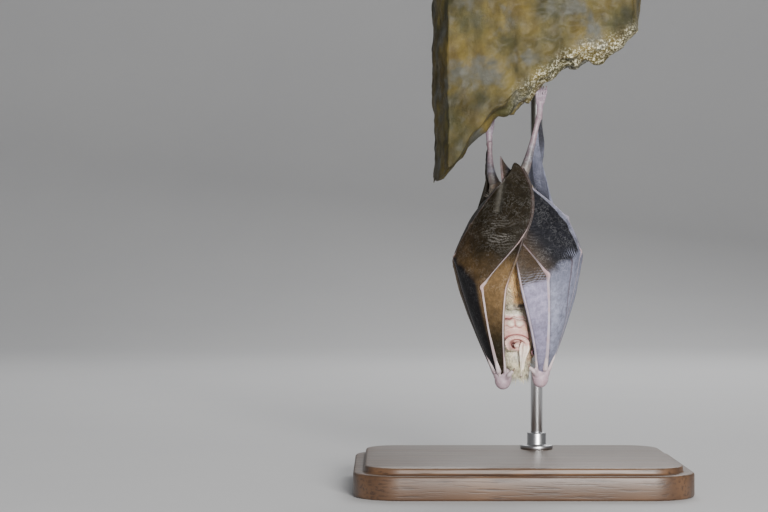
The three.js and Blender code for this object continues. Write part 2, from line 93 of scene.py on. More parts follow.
# The line of the rock's underside, from left to right: x, height.
ROOF = np.array([
    [-17.5, 56.8], [-12.8, 62.6], [-9.6, 68.4], [-5.6, 72.6], [0, 76.2],
    [5.2, 80], [8.8, 83.2], [16.2, 84.8], [25.5, 89.4],
])
print("wings:", RIGHT["name"], LEFT["name"], "body sections:", len(BODY))

# %% [markdown]
# Every form here begins as one of Blender's primitives. A UV sphere is a closed skin with a
# longitude and a latitude, so it can be drawn out along any line: a limb, a rod, a claw. A grid has
# two directions too. Extruded once it is a closed slab, so its two sides can be set apart to make a
# wing with thick bones and a thin skin. Moving the vertices in code after that keeps the faces
# regular, which a wing's wrinkles need.

# %% Helpers that start from a primitive
def deselect():
    if bpy.context.object and bpy.context.object.mode != "OBJECT":
        bpy.ops.object.mode_set(mode="OBJECT")
    bpy.ops.object.select_all(action="DESELECT")


def places(piece):
    flat = np.empty(len(piece.data.vertices) * 3)
    piece.data.vertices.foreach_get("co", flat)
    return flat.reshape(-1, 3)


def set_places(piece, points):
    piece.data.vertices.foreach_set("co", (np.asarray(points) * MM).ravel())
    piece.data.update()


def in_edit(piece, *steps):
    """Runs edit mode steps on all of a piece."""
    deselect()
    piece.select_set(True)
    bpy.context.view_layer.objects.active = piece
    bpy.ops.object.mode_set(mode="EDIT")
    bpy.ops.mesh.select_all(action="SELECT")
    for step in steps:
        step()
    bpy.ops.object.mode_set(mode="OBJECT")


def face_out(piece):
    in_edit(piece, lambda: bpy.ops.mesh.normals_make_consistent(inside=False))


def modify(piece, kind, **settings):
    deselect()
    piece.select_set(True)
    bpy.context.view_layer.objects.active = piece
    modifier = piece.modifiers.new(kind.title(), kind)
    for key, value in settings.items():
        setattr(modifier, key, value)
    bpy.ops.object.modifier_apply(modifier=modifier.name)


def from_sphere(name, around, along, place):
    """A UV sphere whose vertices go to place(v, turn): v runs 0 to 1 from pole to pole."""
    deselect()
    bpy.ops.mesh.primitive_uv_sphere_add(segments=around, ring_count=along, radius=1)
    piece = bpy.context.object
    piece.name = piece.data.name = name
    at = places(piece)
    v = np.arccos(np.clip(-at[:, 2], -1, 1)) / np.pi
    set_places(piece, place(v, np.arctan2(at[:, 1], at[:, 0])))
    face_out(piece)
    return piece


def unit(vectors):
    return vectors / np.maximum(np.linalg.norm(vectors, axis=-1, keepdims=True), 1e-9)


def along_line(line, radius, flat=1.0):
    """A place() for from_sphere: a rod round line(v), with radius(v), squeezed by flat."""
    def place(v, turn):
        v = np.round(v, 5)
        stations, index = np.unique(v, return_inverse=True)
        middle = line(stations)
        tangent = unit(line(np.minimum(stations + 0.01, 1)) - line(np.maximum(stations - 0.01, 0)))
        across = np.zeros_like(tangent)
        last = point(1, 0, 0)
        for k, direction in enumerate(tangent):
            last = unit(last - direction * last.dot(direction))
            across[k] = last
        up = np.cross(tangent, across)
        ring = across[index] * np.cos(turn)[:, None] + flat * up[index] * np.sin(turn)[:, None]
        return middle[index] + ring * radius(stations)[index][:, None]
    return place


def from_grid(name, us, vs, middle, half, relief=None):
    """A closed slab over a grid of stations: middle(u, v), half its thickness, and waves in it."""
    columns, rows = len(us) - 1, len(vs) - 1
    deselect()
    bpy.ops.mesh.primitive_grid_add(x_subdivisions=columns, y_subdivisions=rows, size=1)
    piece = bpy.context.object
    piece.name = piece.data.name = name
    drop = dict(value=(0, 0, -1))
    in_edit(piece, lambda: bpy.ops.mesh.extrude_region_move(TRANSFORM_OT_translate=drop))
    at = places(piece)
    column = np.round((at[:, 0] + 0.5) * columns).astype(int)
    row = np.round((at[:, 1] + 0.5) * rows).astype(int)
    u, v = np.meshgrid(us, vs)
    surface = middle(u, v)
    normal = unit(np.cross(np.gradient(surface, axis=1), np.gradient(surface, axis=0)))
    if relief is not None:
        surface = surface + normal * relief(u, v, surface)[..., None]
    side = np.where(at[:, 2] > -0.5, 1, -1)
    offset = normal * half(u, v)[..., None]
    set_places(piece, surface[row, column] + side[:, None] * offset[row, column])
    face_out(piece)
    return piece, u[row, column], v[row, column], side


def smoothstep(low, high, value):
    t = np.clip((value - low) / (high - low), 0, 1)
    return t * t * (3 - 2 * t)


CELLS = 32  # the noise repeats after this many of its lumps
LATTICE = np.random.default_rng(11).random((CELLS, CELLS, CELLS))


def grain(points, size, shift=0.0):
    """Smooth random values from -1 to 1, with lumps of about size millimetres."""
    at = np.asarray(points) / size + shift
    low = np.floor(at).astype(int)
    t = at - low
    t = t * t * (3 - 2 * t)
    total = 0
    for corner in np.ndindex(2, 2, 2):
        share = np.prod([t[..., k] if corner[k] else 1 - t[..., k] for k in range(3)], axis=0)
        total = total + share * LATTICE[tuple((low[..., k] + corner[k]) % CELLS for k in range(3))]
    return 2 * total - 1


def paint(piece, name, values):
    """Keeps a colour, or a single number, for each vertex under a name that a finish reads."""
    values = np.asarray(values, float)
    if values.ndim == 1:
        values = np.repeat(values[:, None], 3, axis=1)
    layer = piece.data.color_attributes.new(name=name, type="FLOAT_COLOR", domain="POINT")
    layer.data.foreach_set("color", np.column_stack([values, np.ones(len(values))]).ravel())


def dress(piece, slot, finish, *stands_for, angle):
    """Gives a piece its finish, smooths it, hangs it on the root and hides the solids it stands for."""
    piece.data.materials.clear()
    piece.data.materials.append(finish)
    deselect()
    piece.select_set(True)
    bpy.context.view_layer.objects.active = piece
    bpy.ops.object.shade_smooth_by_angle(angle=np.radians(angle))
    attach(piece, "root")
    if stands_for:
        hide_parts(*stands_for)
    count = sum(len(face.vertices) - 2 for face in piece.data.polygons)
    print(f"{piece.name}: {count} triangles")
    return piece


print("helpers ready")

# %% [markdown]
# Shader maths reads best as plain expressions. One small class wraps an output socket, and each
# operator on it adds its Math node. Any other node comes from one method that takes the node's type,
# its settings and its sockets' values or links.

# %% Expressions for materials
class Wire:
    def __init__(self, finish, socket):
        self.finish, self.socket = finish, socket

    def math(self, operation, *terms):
        sockets = {k: term for k, term in enumerate(terms)}
        return self.finish.node("Math", {"operation": operation}, sockets)

    def __add__(self, other):
        return self.math("ADD", self, other)

    def __sub__(self, other):
        return self.math("SUBTRACT", self, other)

    def __rsub__(self, other):
        return self.math("SUBTRACT", other, self)

    def __mul__(self, other):
        return self.math("MULTIPLY", self, other)

    __radd__ = __add__
    __rmul__ = __mul__

    def size(self):
        return self.math("ABSOLUTE", self)

    def clamped(self, low, high):
        """0 below low, 1 above high and straight between."""
        sockets = {"Value": self, "From Min": low, "From Max": high}
        return self.finish.node("MapRange", {"clamp": True}, sockets)


class Finish:
    def __init__(self, name):
        self.material = bpy.data.materials.new(name)
        self.material.use_nodes = True
        self.tree = self.material.node_tree
        self.shader = self.tree.nodes["Principled BSDF"]

    def node(self, kind, settings=None, sockets=None, out=0):
        made = self.tree.nodes.new("ShaderNode" + kind)
        for key, value in (settings or {}).items():
            setattr(made, key, value)
        for key, value in (sockets or {}).items():
            self.join(made.inputs[key], value)
        return Wire(self, made.outputs[out])

    def join(self, socket, value):
        if isinstance(value, Wire):
            self.tree.links.new(value.socket, socket)
        else:
            socket.default_value = value

    def place(self):
        return self.node("TexCoord", out="Object")

    def read(self, name):
        return self.node("Attribute", {"attribute_name": name}, out="Color")

    def lumps(self, size, detail=3.0, roughness=0.55, stretch=None):
        """Noise with lumps of about size millimetres, from 0 to 1."""
        vector = self.place()
        if stretch:
            vector = self.node("Mapping", sockets={"Vector": vector, "Scale": stretch})
        sockets = {"Vector": vector, "Scale": 1 / (size * MM), "Detail": detail, "Roughness": roughness}
        return self.node("TexNoise", sockets=sockets)

    def mix(self, low, high, share):
        settings = {"data_type": "RGBA", "blend_type": "MIX", "clamp_factor": True}
        return self.node("Mix", settings, {0: share, 6: low, 7: high}, out=2)

    def bump(self, height, depth, strength):
        """Raised by height times depth, in millimetres."""
        sockets = {"Height": height, "Distance": depth * MM, "Strength": strength}
        return self.node("Bump", sockets=sockets)

    def done(self, colour, roughness, normal=None, **constants):
        self.join(self.shader.inputs["Base Color"], colour)
        self.join(self.shader.inputs["Roughness"], roughness)
        if normal:
            self.join(self.shader.inputs["Normal"], normal)
        for key, value in constants.items():
            self.shader.inputs[key.replace("_", " ")].default_value = value
        return self.material


def tone(red, green, blue):
    return (red, green, blue, 1.0)


print("finish helpers ready")

# %% [markdown]
# The stage is a pale floor that curves up behind the model, as a paper sweep does. One soft light
# stands on the right of the bat, in front of it and above its middle. A weaker one fills from the
# left and below, and a third rims the wings from behind. The camera is level and stands well to
# the left of the bat, so the animal hangs right of the middle with the rock above it.

# %% Stage, lights and camera
paper = Finish("stage_paper")
stage_finish = paper.done(paper.mix(tone(0.60, 0.60, 0.61), tone(0.64, 0.64, 0.64), paper.lumps(60)), 0.9)

FLOOR = dict(half=1.4, near=-0.9, far=0.55, sweep=0.35, height=1.3)


def sweep(u, v):
    """A floor that turns up into a wall, v running from the front to the wall's top."""
    run = FLOOR["far"] - FLOOR["near"]
    turn = FLOOR["sweep"] * np.pi / 2
    length = run + turn + FLOOR["height"]
    s = v * length
    angle = np.clip((s - run) / FLOOR["sweep"], 0, np.pi / 2)
    y = FLOOR["near"] + np.minimum(s, run) + FLOOR["sweep"] * np.sin(angle)
    z = FLOOR["sweep"] * (1 - np.cos(angle)) + np.maximum(s - run - turn, 0)
    return np.stack([(2 * u - 1) * FLOOR["half"], y, z], -1) / MM


deselect()
bpy.ops.mesh.primitive_grid_add(x_subdivisions=4, y_subdivisions=60, size=1)
floor = bpy.context.object
floor.name = "stage_floor"
flat = places(floor)
set_places(floor, sweep(flat[:, 0] + 0.5, flat[:, 1] + 0.5))
floor.data.materials.append(stage_finish)
bpy.ops.object.shade_smooth()


def soft_light(name, at, aim, size, power, colour):
    bpy.ops.object.light_add(type="AREA", location=at)
    light = bpy.context.object
    light.name = name
    light.data.size = size
    light.data.energy = power
    light.data.color = colour
    light.rotation_euler = (Vector(at) - Vector(aim)).to_track_quat("Z", "Y").to_euler()


AIM = (0, 0, 0.045)
soft_light("key_light", (0.135, -0.61, 0.15), AIM, 0.18, 6.6, (1.0, 0.985, 0.96))
soft_light("fill_light", (-0.05, -0.62, 0.0), AIM, 0.16, 1.0, (0.97, 0.98, 1.0))
soft_light("rim_light", (0.12, 0.45, 0.42), AIM, 0.4, 2.2, (1.0, 1.0, 1.0))
world = bpy.data.worlds.new("soft_room")
world.use_nodes = True
world.node_tree.nodes["Background"].inputs["Color"].default_value = (0.82, 0.84, 0.87, 1)
world.node_tree.nodes["Background"].inputs["Strength"].default_value = 0.22
bpy.context.scene.world = world

VIEW_DISTANCE = 0.4
VIEW_WIDTH = 0.1536  # metres across the view at the bat's own distance
SENSOR = 36
bpy.ops.object.camera_add(location=(-0.027, -0.004 - VIEW_DISTANCE, 0.0464), rotation=(np.pi / 2, 0, 0))
camera = bpy.context.object
camera.name = "camera"
camera.data.sensor_width = SENSOR
camera.data.lens = SENSOR * VIEW_DISTANCE / VIEW_WIDTH
camera.data.clip_start = 0.01
bpy.context.scene.camera = camera
print("camera at", tuple(camera.location), "lens", round(camera.data.lens, 2))

# %% [markdown]
# The perch is a sawn block of damp limestone: ochre and olive flowstone with grey patches and small
# nodules. Pale gritty specks along its underside are painted highlight, stronger towards the right,
# where the key light falls. A cube subdivided into even squares takes the block's rounded plan and
# its sloping underside, and noise of several sizes then swells and pits it.
# Real lumps in the mesh keep its outline rough. Only the finest grit is left to the finish.

# %% The rock block
ROCK = dict(left=-17, right=25, front=-10, back=20, top=100, rounding=0.22, lump=0.7, rise=0.1, edge=2.4)
NODULES = ((-3.9, -3), (-1.8, -2.5), (1.5, -4))  # where the small nodules hang: x, y


def eased_line(x, knots):
    """A line through knots whose corners are rounded off."""
    spread = 1.2  # millimetres that a corner is rounded over, on either side of it
    offsets = np.linspace(-spread, spread, 9)
    weights = np.cos(offsets / spread * np.pi / 2) ** 2
    samples = [w * np.interp(x + d, knots[:, 0], knots[:, 1]) for d, w in zip(offsets, weights)]
    return sum(samples) / weights.sum()


def roof(x, y):
    lumps = np.sin(0.9 * x + 0.4 * y) * np.cos(0.7 * y - 0.5 * x)
    return eased_line(x, ROOF) + ROCK["rise"] * (y - ROCK["front"]) + ROCK["lump"] * lumps


deselect()
bpy.ops.mesh.primitive_cube_add(size=2)
rock = bpy.context.object
rock.name = rock.data.name = "perch_rock_stone"
in_edit(rock, lambda: bpy.ops.mesh.subdivide(number_cuts=78))
a, b, c = places(rock).T
half_x, half_y = (ROCK["right"] - ROCK["left"]) / 2, (ROCK["back"] - ROCK["front"]) / 2
x = (ROCK["right"] + ROCK["left"]) / 2 + half_x * a * np.sqrt(1 - ROCK["rounding"] * b * b)
y = (ROCK["back"] + ROCK["front"]) / 2 + half_y * b * np.sqrt(1 - ROCK["rounding"] * a * a)
rim = np.maximum(abs(a), abs(b)) ** 6
low = roof(x, y) + ROCK["edge"] * rim
high = ROCK["top"] - ROCK["edge"] * rim * 0.4
body = np.stack([x, y, low + (high - low) * (c + 1) / 2], -1)
set_places(rock, body)
face_out(rock)
normals = np.array([vertex.normal[:] for vertex in rock.data.vertices])
swell = 0.9 * grain(body, 9) + 0.55 * grain(body, 4.2, 3) + 0.3 * grain(body, 1.9, 7)
pits = -0.5 * smoothstep(0.25, 0.7, grain(body, 2.6, 12)) - 0.22 * smoothstep(0.2, 0.6, grain(body, 1.1, 5))
ledges = 0.45 * np.sin(1.1 * body[:, 2] - 0.75 * body[:, 0] + 2.5 * grain(body, 7, 20))
grit = 0.16 * grain(body, 0.8, 9)
sawn = smoothstep(0.96, 1.0, c)
ends = smoothstep(0.82, 0.98, np.maximum(abs(a), abs(b)))
rough = (swell + pits + ledges * (1 - 0.8 * ends) - 0.35 + grit) * (1 - 0.97 * sawn) * (1 - 0.45 * ends)
for x_at, y_at in NODULES:
    nodule = np.array([x_at, y_at, float(roof(x_at, y_at))])
    rough = rough + 1.1 * np.exp(-((np.linalg.norm(body - nodule, axis=1) / 0.85) ** 2))
for side in (LEFT, RIGHT):  # the underside stays smooth where the toes grip
    reach = np.linalg.norm(body - side["toes"], axis=1)
    rough = rough * smoothstep(1.5, 6, reach)
body = body + normals * rough[:, None]
body[:, 2] = np.minimum(body[:, 2], ROCK["top"])
set_places(rock, body)
# Painted highlight: pale gritty specks over the underside, stronger towards the right, where the key light
# falls.
rim_light = np.exp(-((low - body[:, 2]) / 1.6) ** 2) * smoothstep(-4, 6, body[:, 0])
paint(rock, "rim", rim_light)
paint(rock, "sawn", sawn)
print("rock spans", body.min(0).round(1), body.max(0).round(1))

# %% [markdown]
# Flowstone is glossy where it is wet and dull where it is dry, so its roughness changes from patch
# to patch as its colour does. The sawn top is paler and has fine parallel marks.

# %% Rock finish
stone = Finish("wet_flowstone")
patches = stone.lumps(9, 4).clamped(0.38, 0.62)
streaks = stone.lumps(3.2, 5, stretch=(1.0, 1.0, 0.45)).clamped(0.36, 0.66)
fine = stone.lumps(0.45, 6, roughness=0.7)
ochre = stone.mix(tone(0.075, 0.052, 0.010), tone(0.155, 0.115, 0.026), streaks)
olive = stone.mix(tone(0.026, 0.024, 0.008), tone(0.062, 0.057, 0.020), streaks)
grey = stone.mix(tone(0.045, 0.044, 0.033), tone(0.10, 0.098, 0.075), stone.lumps(1.6, 4))
colour = stone.mix(olive, ochre, patches)
colour = stone.mix(colour, grey, stone.lumps(6, 3, roughness=0.6).clamped(0.52, 0.66))
stains = stone.lumps(2.2, 5, roughness=0.7).clamped(0.6, 0.74) * 0.7
colour = stone.mix(colour, tone(0.07, 0.05, 0.025), stains)
# The underside's painted highlight specks.
colour = stone.mix(colour, tone(0.74, 0.70, 0.50), stone.read("rim") * fine.clamped(0.5, 0.62))
saw_marks = stone.node(
    "TexWave", {"bands_direction": "X"}, {"Vector": stone.place(), "Scale": 420.0, "Distortion": 1.2}, out=1,
)
sawn_colour = stone.mix(tone(0.34, 0.29, 0.19), tone(0.47, 0.42, 0.31), stone.lumps(2.5, 4))
colour = stone.mix(colour, sawn_colour, stone.read("sawn"))
wet = 0.72 - 0.26 * stone.lumps(4, 3).clamped(0.42, 0.58)
height = fine * 0.5 + stone.lumps(0.18, 4) * 0.35 + saw_marks * stone.read("sawn") * 0.12
stone_finish = stone.done(
    colour, wet, stone.bump(height, 0.35, 0.9), Coat_Weight=0.04, Coat_Roughness=0.3, Specular_IOR_Level=0.3,
)
dress(rock, "rock", stone_finish, "perch_rock", angle=180)

# %% [markdown]
# The stand is invented and plain: a dark oiled hardwood plate with a stepped, softened edge, and a
# brushed steel rod with a small turned collar. The plate is a cube whose upright corners are
# bevelled round, whose top is inset and raised for the step, and whose edges then get a fine bevel.

# %% Stand plate
BASE = dict(width=66, depth=52, height=6, corner=9, step=2.2, lip=1.3)
ROD = dict(x=5, y=15.5, radius=1.25, socket=6, sunk=2)  # it goes up into the rock and down into the plate


def select_by(piece, kind, chosen):
    """Selects a piece's faces or edges by a test, in edit mode's own terms."""
    deselect()
    piece.select_set(True)
    bpy.context.view_layer.objects.active = piece
    for group in (piece.data.vertices, piece.data.edges, piece.data.polygons):
        group.foreach_set("select", [False] * len(group))
    bpy.ops.object.mode_set(mode="EDIT")
    bpy.ops.mesh.select_mode(type=kind)
    bpy.ops.object.mode_set(mode="OBJECT")
    for element in (piece.data.edges if kind == "EDGE" else piece.data.polygons):
        element.select = chosen(element)
    bpy.ops.object.mode_set(mode="EDIT")


deselect()
bpy.ops.mesh.primitive_cube_add(size=1, location=(0, 0, BASE["height"] / 2 * MM))
plate = bpy.context.object
plate.name = plate.data.name = "stand_plate"
plate.scale = (BASE["width"] * MM, BASE["depth"] * MM, BASE["height"] * MM)
bpy.ops.object.transform_apply(location=True, rotation=False, scale=True)
at = plate.data.vertices


def upright(edge):
    low, high = (at[k].co for k in edge.vertices)
    return abs(low.z - high.z) > 1 * MM


select_by(plate, "EDGE", upright)
bpy.ops.mesh.bevel(offset=BASE["corner"] * MM, segments=10, affect="EDGES")
bpy.ops.object.mode_set(mode="OBJECT")
select_by(plate, "FACE", lambda face: face.normal.z > 0.9)
bpy.ops.transform.translate(value=(0, 0, -BASE["lip"] * MM))
bpy.ops.mesh.inset(thickness=BASE["step"] * MM)
bpy.ops.mesh.extrude_region_move(TRANSFORM_OT_translate=dict(value=(0, 0, BASE["lip"] * MM)))
bpy.ops.object.mode_set(mode="OBJECT")
modify(plate, "BEVEL", width=0.45 * MM, segments=3, limit_method="ANGLE", angle_limit=np.radians(40))
print("plate top at", max(vertex.co.z for vertex in plate.data.vertices))

# %% Stand rod and collar
rod_top = float(roof(ROD["x"], ROD["y"])) + ROD["socket"]
rod_foot = BASE["height"] - ROD["sunk"]
deselect()
bpy.ops.mesh.primitive_cylinder_add(
    vertices=32, radius=ROD["radius"] * MM, depth=(rod_top - rod_foot) * MM,
    location=(ROD["x"] * MM, ROD["y"] * MM, (rod_top + rod_foot) / 2 * MM),
)
rod = bpy.context.object
rod.name = rod.data.name = "stand_rod_bar"
bpy.ops.object.transform_apply(location=True, rotation=False, scale=True)
modify(rod, "BEVEL", width=0.2 * MM, segments=2, limit_method="ANGLE", angle_limit=np.radians(60))

COLLAR = dict(foot=3.4, waist=2.0, height=2.6)
deselect()
bpy.ops.mesh.primitive_cylinder_add(
    vertices=48, radius=COLLAR["foot"] * MM, depth=0.9 * MM,
    location=(ROD["x"] * MM, ROD["y"] * MM, (BASE["height"] + 0.4) * MM),
)
collar = bpy.context.object
collar.name = collar.data.name = "stand_collar"
bpy.ops.object.transform_apply(location=True, rotation=False, scale=True)
select_by(collar, "FACE", lambda face: face.normal.z > 0.9)
bpy.ops.mesh.inset(thickness=(COLLAR["foot"] - COLLAR["waist"]) * MM)
bpy.ops.mesh.extrude_region_move(TRANSFORM_OT_translate=dict(value=(0, 0, COLLAR["height"] * MM)))
bpy.ops.object.mode_set(mode="OBJECT")
modify(collar, "BEVEL", width=0.25 * MM, segments=3, limit_method="ANGLE", angle_limit=np.radians(40))
print("collar foot radius", COLLAR["foot"])

# %% Stand finishes
wood = Finish("oiled_hardwood")
rings = wood.node("TexWave", {"wave_type": "BANDS", "bands_direction": "Y"}, {
    "Vector": wood.place(), "Scale": 62.0, "Distortion": 5.5, "Detail": 3.0, "Detail Scale": 0.6,
}, out=1)
pores = wood.lumps(0.5, 3, stretch=(0.06, 1.0, 1.0)).clamped(0.5, 0.68)
figure = wood.lumps(7, 3, stretch=(0.15, 1.0, 1.0))
brown = wood.mix(tone(0.060, 0.030, 0.015), tone(0.135, 0.070, 0.034), rings * 0.6 + figure * 0.4)
brown = wood.mix(brown, tone(0.026, 0.013, 0.008), pores * 0.75)
wood_relief = wood.bump(1 - pores, 0.06, 0.5)
wood_finish = wood.done(brown, 0.34 + 0.22 * figure, wood_relief, Coat_Weight=0.18, Coat_Roughness=0.3)
dress(plate, "wood", wood_finish, "stand_base", angle=35)

steel = Finish("brushed_steel")
brushing = steel.lumps(0.12, 3, stretch=(1.0, 1.0, 0.05))
grey = steel.mix(tone(0.42, 0.42, 0.43), tone(0.62, 0.62, 0.63), brushing)
steel_finish = steel.done(grey, 0.24 + 0.16 * brushing, steel.bump(brushing, 0.01, 0.3), Metallic=1.0)
dress(rod, "steel", steel_finish, "stand_rod", angle=35)
dress(collar, "steel", steel_finish, angle=35)

# %% [markdown]
# A bat's wing is its hand. The second digit edges it, the third, fourth and fifth run through it
# like the ribs of a fan, and the skin goes on behind to the forearm and the leg. Asleep, the wings
# are wrapped round the body with the wrists at the bottom. A cloth simulation wouldn't hold those
# folds, so the skin is stretched between the bones' own lines. It bulges outwards between two bones,
# and where a bone runs the slab is as thick as the bone, which gives a skin with no seam.

# %% Lines of the bones
def outward(p):
    return unit((p - AXIS) * (1, 1, 0))


def chain(joints, bend=point(0, 0, 0), bow=BOW):
    """A line over a digit's bones, each bowed outwards, the last one also bent sideways."""
    breaks = [0, KNUCKLE, JOINT, 1][: len(joints)]

    def line(v):
        v = np.asarray(v, float)
        bone = np.clip(np.searchsorted(breaks, v, side="left") - 1, 0, len(joints) - 2)
        low, high = np.take(breaks, bone), np.take(breaks, bone + 1)
        t = ((v - low) / (high - low))[..., None]
        start, end = np.take(joints, bone, axis=0), np.take(joints, bone + 1, axis=0)
        rise = 4 * t * (1 - t)
        p = start + (end - start) * t + bend * rise * (bone == 2)[..., None]
        length = np.linalg.norm(end - start, axis=-1, keepdims=True)
        return p + outward(p) * bow * length * rise
    return line


def straight(start, end, bow=0.0):
    def line(v):
        t = np.asarray(v, float)[..., None]
        p = start + (end - start) * t
        return p + outward(p) * bow * np.linalg.norm(end - start) * 4 * t * (1 - t)
    return line


def through(*points):
    """A smooth line through points, spaced by their distances."""
    knots = np.array(points, float)
    ends = [2 * knots[0] - knots[1]], [2 * knots[-1] - knots[-2]]
    knots = np.concatenate([ends[0], knots, ends[1]])
    gaps = np.sqrt(np.linalg.norm(np.diff(knots, axis=0), axis=1))
    times = np.concatenate([[0], np.cumsum(gaps)])

    def line(v):
        t = times[1] + np.asarray(v, float) * (times[-2] - times[1])
        k = np.clip(np.searchsorted(times, t, side="right") - 1, 1, len(knots) - 3)
        p, s = [knots[k + d] for d in (-1, 0, 1, 2)], [times[k + d] for d in (-1, 0, 1, 2)]

        def blend(a, b, ta, tb):
            share = ((t - ta) / (tb - ta))[..., None]
            return a * (1 - share) + b * share
        first = [blend(p[i], p[i + 1], s[i], s[i + 1]) for i in range(3)]
        second = [blend(first[i], first[i + 1], s[i], s[i + 2]) for i in range(2)]
        return blend(second[0], second[1], s[1], s[2])
    return line


def wing_lines(w):
    def root(offset):
        return w["wrist"] + offset * (w["side"], 1, 1)
    forearm = straight(root(FOREARM_ROOT), w["elbow"], 0.036)
    edge = root(DIGIT_ROOTS[0] + (w["edge"], 0, 0))
    second = chain([edge, w["knuckles"][0], w["joints"][1]], bow=EDGE_BOW)

    def leading(v):
        """The second digit's line, pushed aside a little where the breast swells between the wings."""
        v = np.asarray(v, float)
        share = np.sin(np.pi * np.clip(v / JOINT, 0, 1)) ** 1.5
        return second(v) + point(w["side"], 0, 0) * (w["aside"] * share)[..., None]
    digits = [leading]
    for k in (1, 2, 3):
        bones = [root(DIGIT_ROOTS[k]), w["knuckles"][k], w["joints"][k], w["tips"][k]]
        digits.append(chain(bones, w["bend"] if k == 1 else point(0, 0, 0)))
    arm = chain([root(FOREARM_ROOT), forearm(0.7), w["elbow"], w["ankle"]], w["flank"], 0)
    leg = through(w["knee"] + (-2.2 * w["side"], 0.6, -5), w["knee"], w["ankle"] + (0, 0, 0.6))
    return dict(digits=digits, arm=arm, forearm=forearm, leg=leg)


for w in (LEFT, RIGHT):
    w.update(wing_lines(w))
    print(w["name"], "forearm", round(float(np.linalg.norm(w["elbow"] - w["wrist"])), 1), "mm")

# %% [markdown]
# The bones thin from 0.7 mm at the wrist to 0.35 mm at the tips, with a knob at each joint. The
# skin is about 0.4 mm, thin but still printable. Columns of the grid crowd together beside the
# bones, and the grid runs on a little past the first bone, so that its edge is rounded off.

# %% Thickness of a wing
BONE = dict(root=0.35, tip=0.17, knuckle=0.56, joint=0.40, spread=0.018, second=0.20)
SKIN = 0.2  # half the membrane's thickness


def bone_radius(v, joint=None):
    shaft = BONE["root"] + (BONE["tip"] - BONE["root"]) * v
    hollow = 1 - 0.16 * np.sin(np.pi * np.clip(v / KNUCKLE, 0, 1)) ** 2
    radius = shaft * hollow
    for at, size in ((KNUCKLE, BONE["knuckle"]), (JOINT, joint or BONE["joint"])):
        swelling = np.exp(-(((v - at) / BONE["spread"]) ** 2))
        radius = radius + (size - radius) * swelling * (size > shaft)
    return radius


def crowded(first, last, count, widths):
    """Stations from first to last: count of them, closer near whole numbers, shared by widths."""
    fine = np.linspace(first, last, 4000)
    strip = np.clip(np.floor(fine), 0, len(widths) - 1).astype(int)
    millimetres = np.abs(fine - np.round(fine)) * np.take(widths, strip)
    density = np.take(widths, strip) * (1 + 2.2 * np.exp(-((millimetres / 1.1) ** 2)))
    total = np.cumsum(density)
    return np.interp(np.linspace(total[0], total[-1], count), total, fine)


EDGE_REACH = 20.0  # millimetres for a whole step of u beyond the leading bone
WRIST_GATHER = 0.50  # share of its spread that the wing keeps inside the wrist


def wing_surface(w, first, bulges, scallops, last):
    """middle(u, v) between the bones: u counts bones from first, and v runs along them."""
    lines = w["digits"] + [w["arm"]]

    def middle(u, v):
        total = np.zeros(u.shape + (3,))
        for k, (bulge, scallop) in enumerate(zip(bulges, scallops)):
            start_line, end_line = lines[first + k], lines[first + k + 1]
            inside = (u >= k) & (u < k + 1)
            if k == 0:
                inside |= u < 0
            if k == len(bulges) - 1:
                inside |= u >= k + 1
            t = np.where(inside, u - k, 0.5)
            share = np.clip(t, 0, 1)
            crown = 4 * share * (1 - share)
            rounded = crown if scallop > 0 else np.sqrt(crown)
            along = v - scallop * rounded * (v / last) ** 4
            start, end = start_line(along), end_line(along)
            width = np.linalg.norm(end - start, axis=-1, keepdims=True)
            chord = (end - start) / np.maximum(width, 1e-6)
            p = start + chord * width * share[..., None]
            p = p + chord * ((t - share) * EDGE_REACH)[..., None]
            lift = bulge * width[..., 0] * crown * (1 - (v / last) ** 6)
            p = p + outward(p) * lift[..., None]
            total = np.where(inside[..., None], p, total)
        gather = WRIST_GATHER + (1 - WRIST_GATHER) * smoothstep(0, 0.085, v)
        return w["wrist"] + (total - w["wrist"]) * gather[..., None]
    return middle


def strip_width(w, first, k, strips, u, v):
    """Millimetres across the strip beside bone k in which u, v lies, of a slab that begins at first."""
    lines = w["digits"] + [w["arm"]]
    beside = np.where(u >= k, min(k, strips - 1), max(k - 1, 0))
    width = np.zeros(u.shape)
    for strip in np.unique(beside):
        gap = np.linalg.norm(lines[first + strip + 1](v) - lines[first + strip](v), axis=-1)
        width = np.where(beside == strip, gap, width)
    return width


def wing_half(w, first, radii, last, rim):
    """Half the slab's thickness: the skin's, or the bone's where a bone runs."""
    def half(u, v):
        thick = np.full(u.shape, SKIN) * (1 + 0.25 * np.exp(-(((last - v) / 0.012) ** 2)))
        total = thick ** 3
        for k, radius in enumerate(radii):
            if radius is None:
                continue
            width = strip_width(w, first, k, len(radii) - 1, u, v)
            distance = np.where(u < 0, -u * EDGE_REACH, np.abs(u - k) * width)
            reach = radius(v) * 1.2
            ridge = radius(v) * np.sqrt(np.clip(1 - (distance / reach) ** 2, 0, 1))
            beyond = (u < 0) & (k == 0)
            total = np.where(beyond, 0.0, total) + ridge ** 3
        thick = np.maximum(total ** (1 / 3), 0.03)
        taper = np.clip((last - v) / rim, 0, 1)
        return thick * np.sqrt(1 - (1 - taper) ** 2 * 0.92)
    return half


print("wing helpers ready")

# %% [markdown]
# The skin of a folded wing isn't smooth: it is drawn into fine crepe, in arcs round the knuckles and
# across the slack panels. The largest of those folds are real waves in the slab, drawn along lines
# of equal distance from the knuckle or level across the panel. The rest is left to the bump.

# %% Wrinkles in the mesh
FOLD = 0.52  # millimetres from one fine fold to the next
RIDGE = (point(-3.3, 0, 61.6), point(-4.4, 0, 55.4))  # ends of a fold that stands up on the left wing


def crease_warp(p):
    return 1.5 * grain(p, 3.4, 4) + 0.6 * grain(p, 1.3, 8)


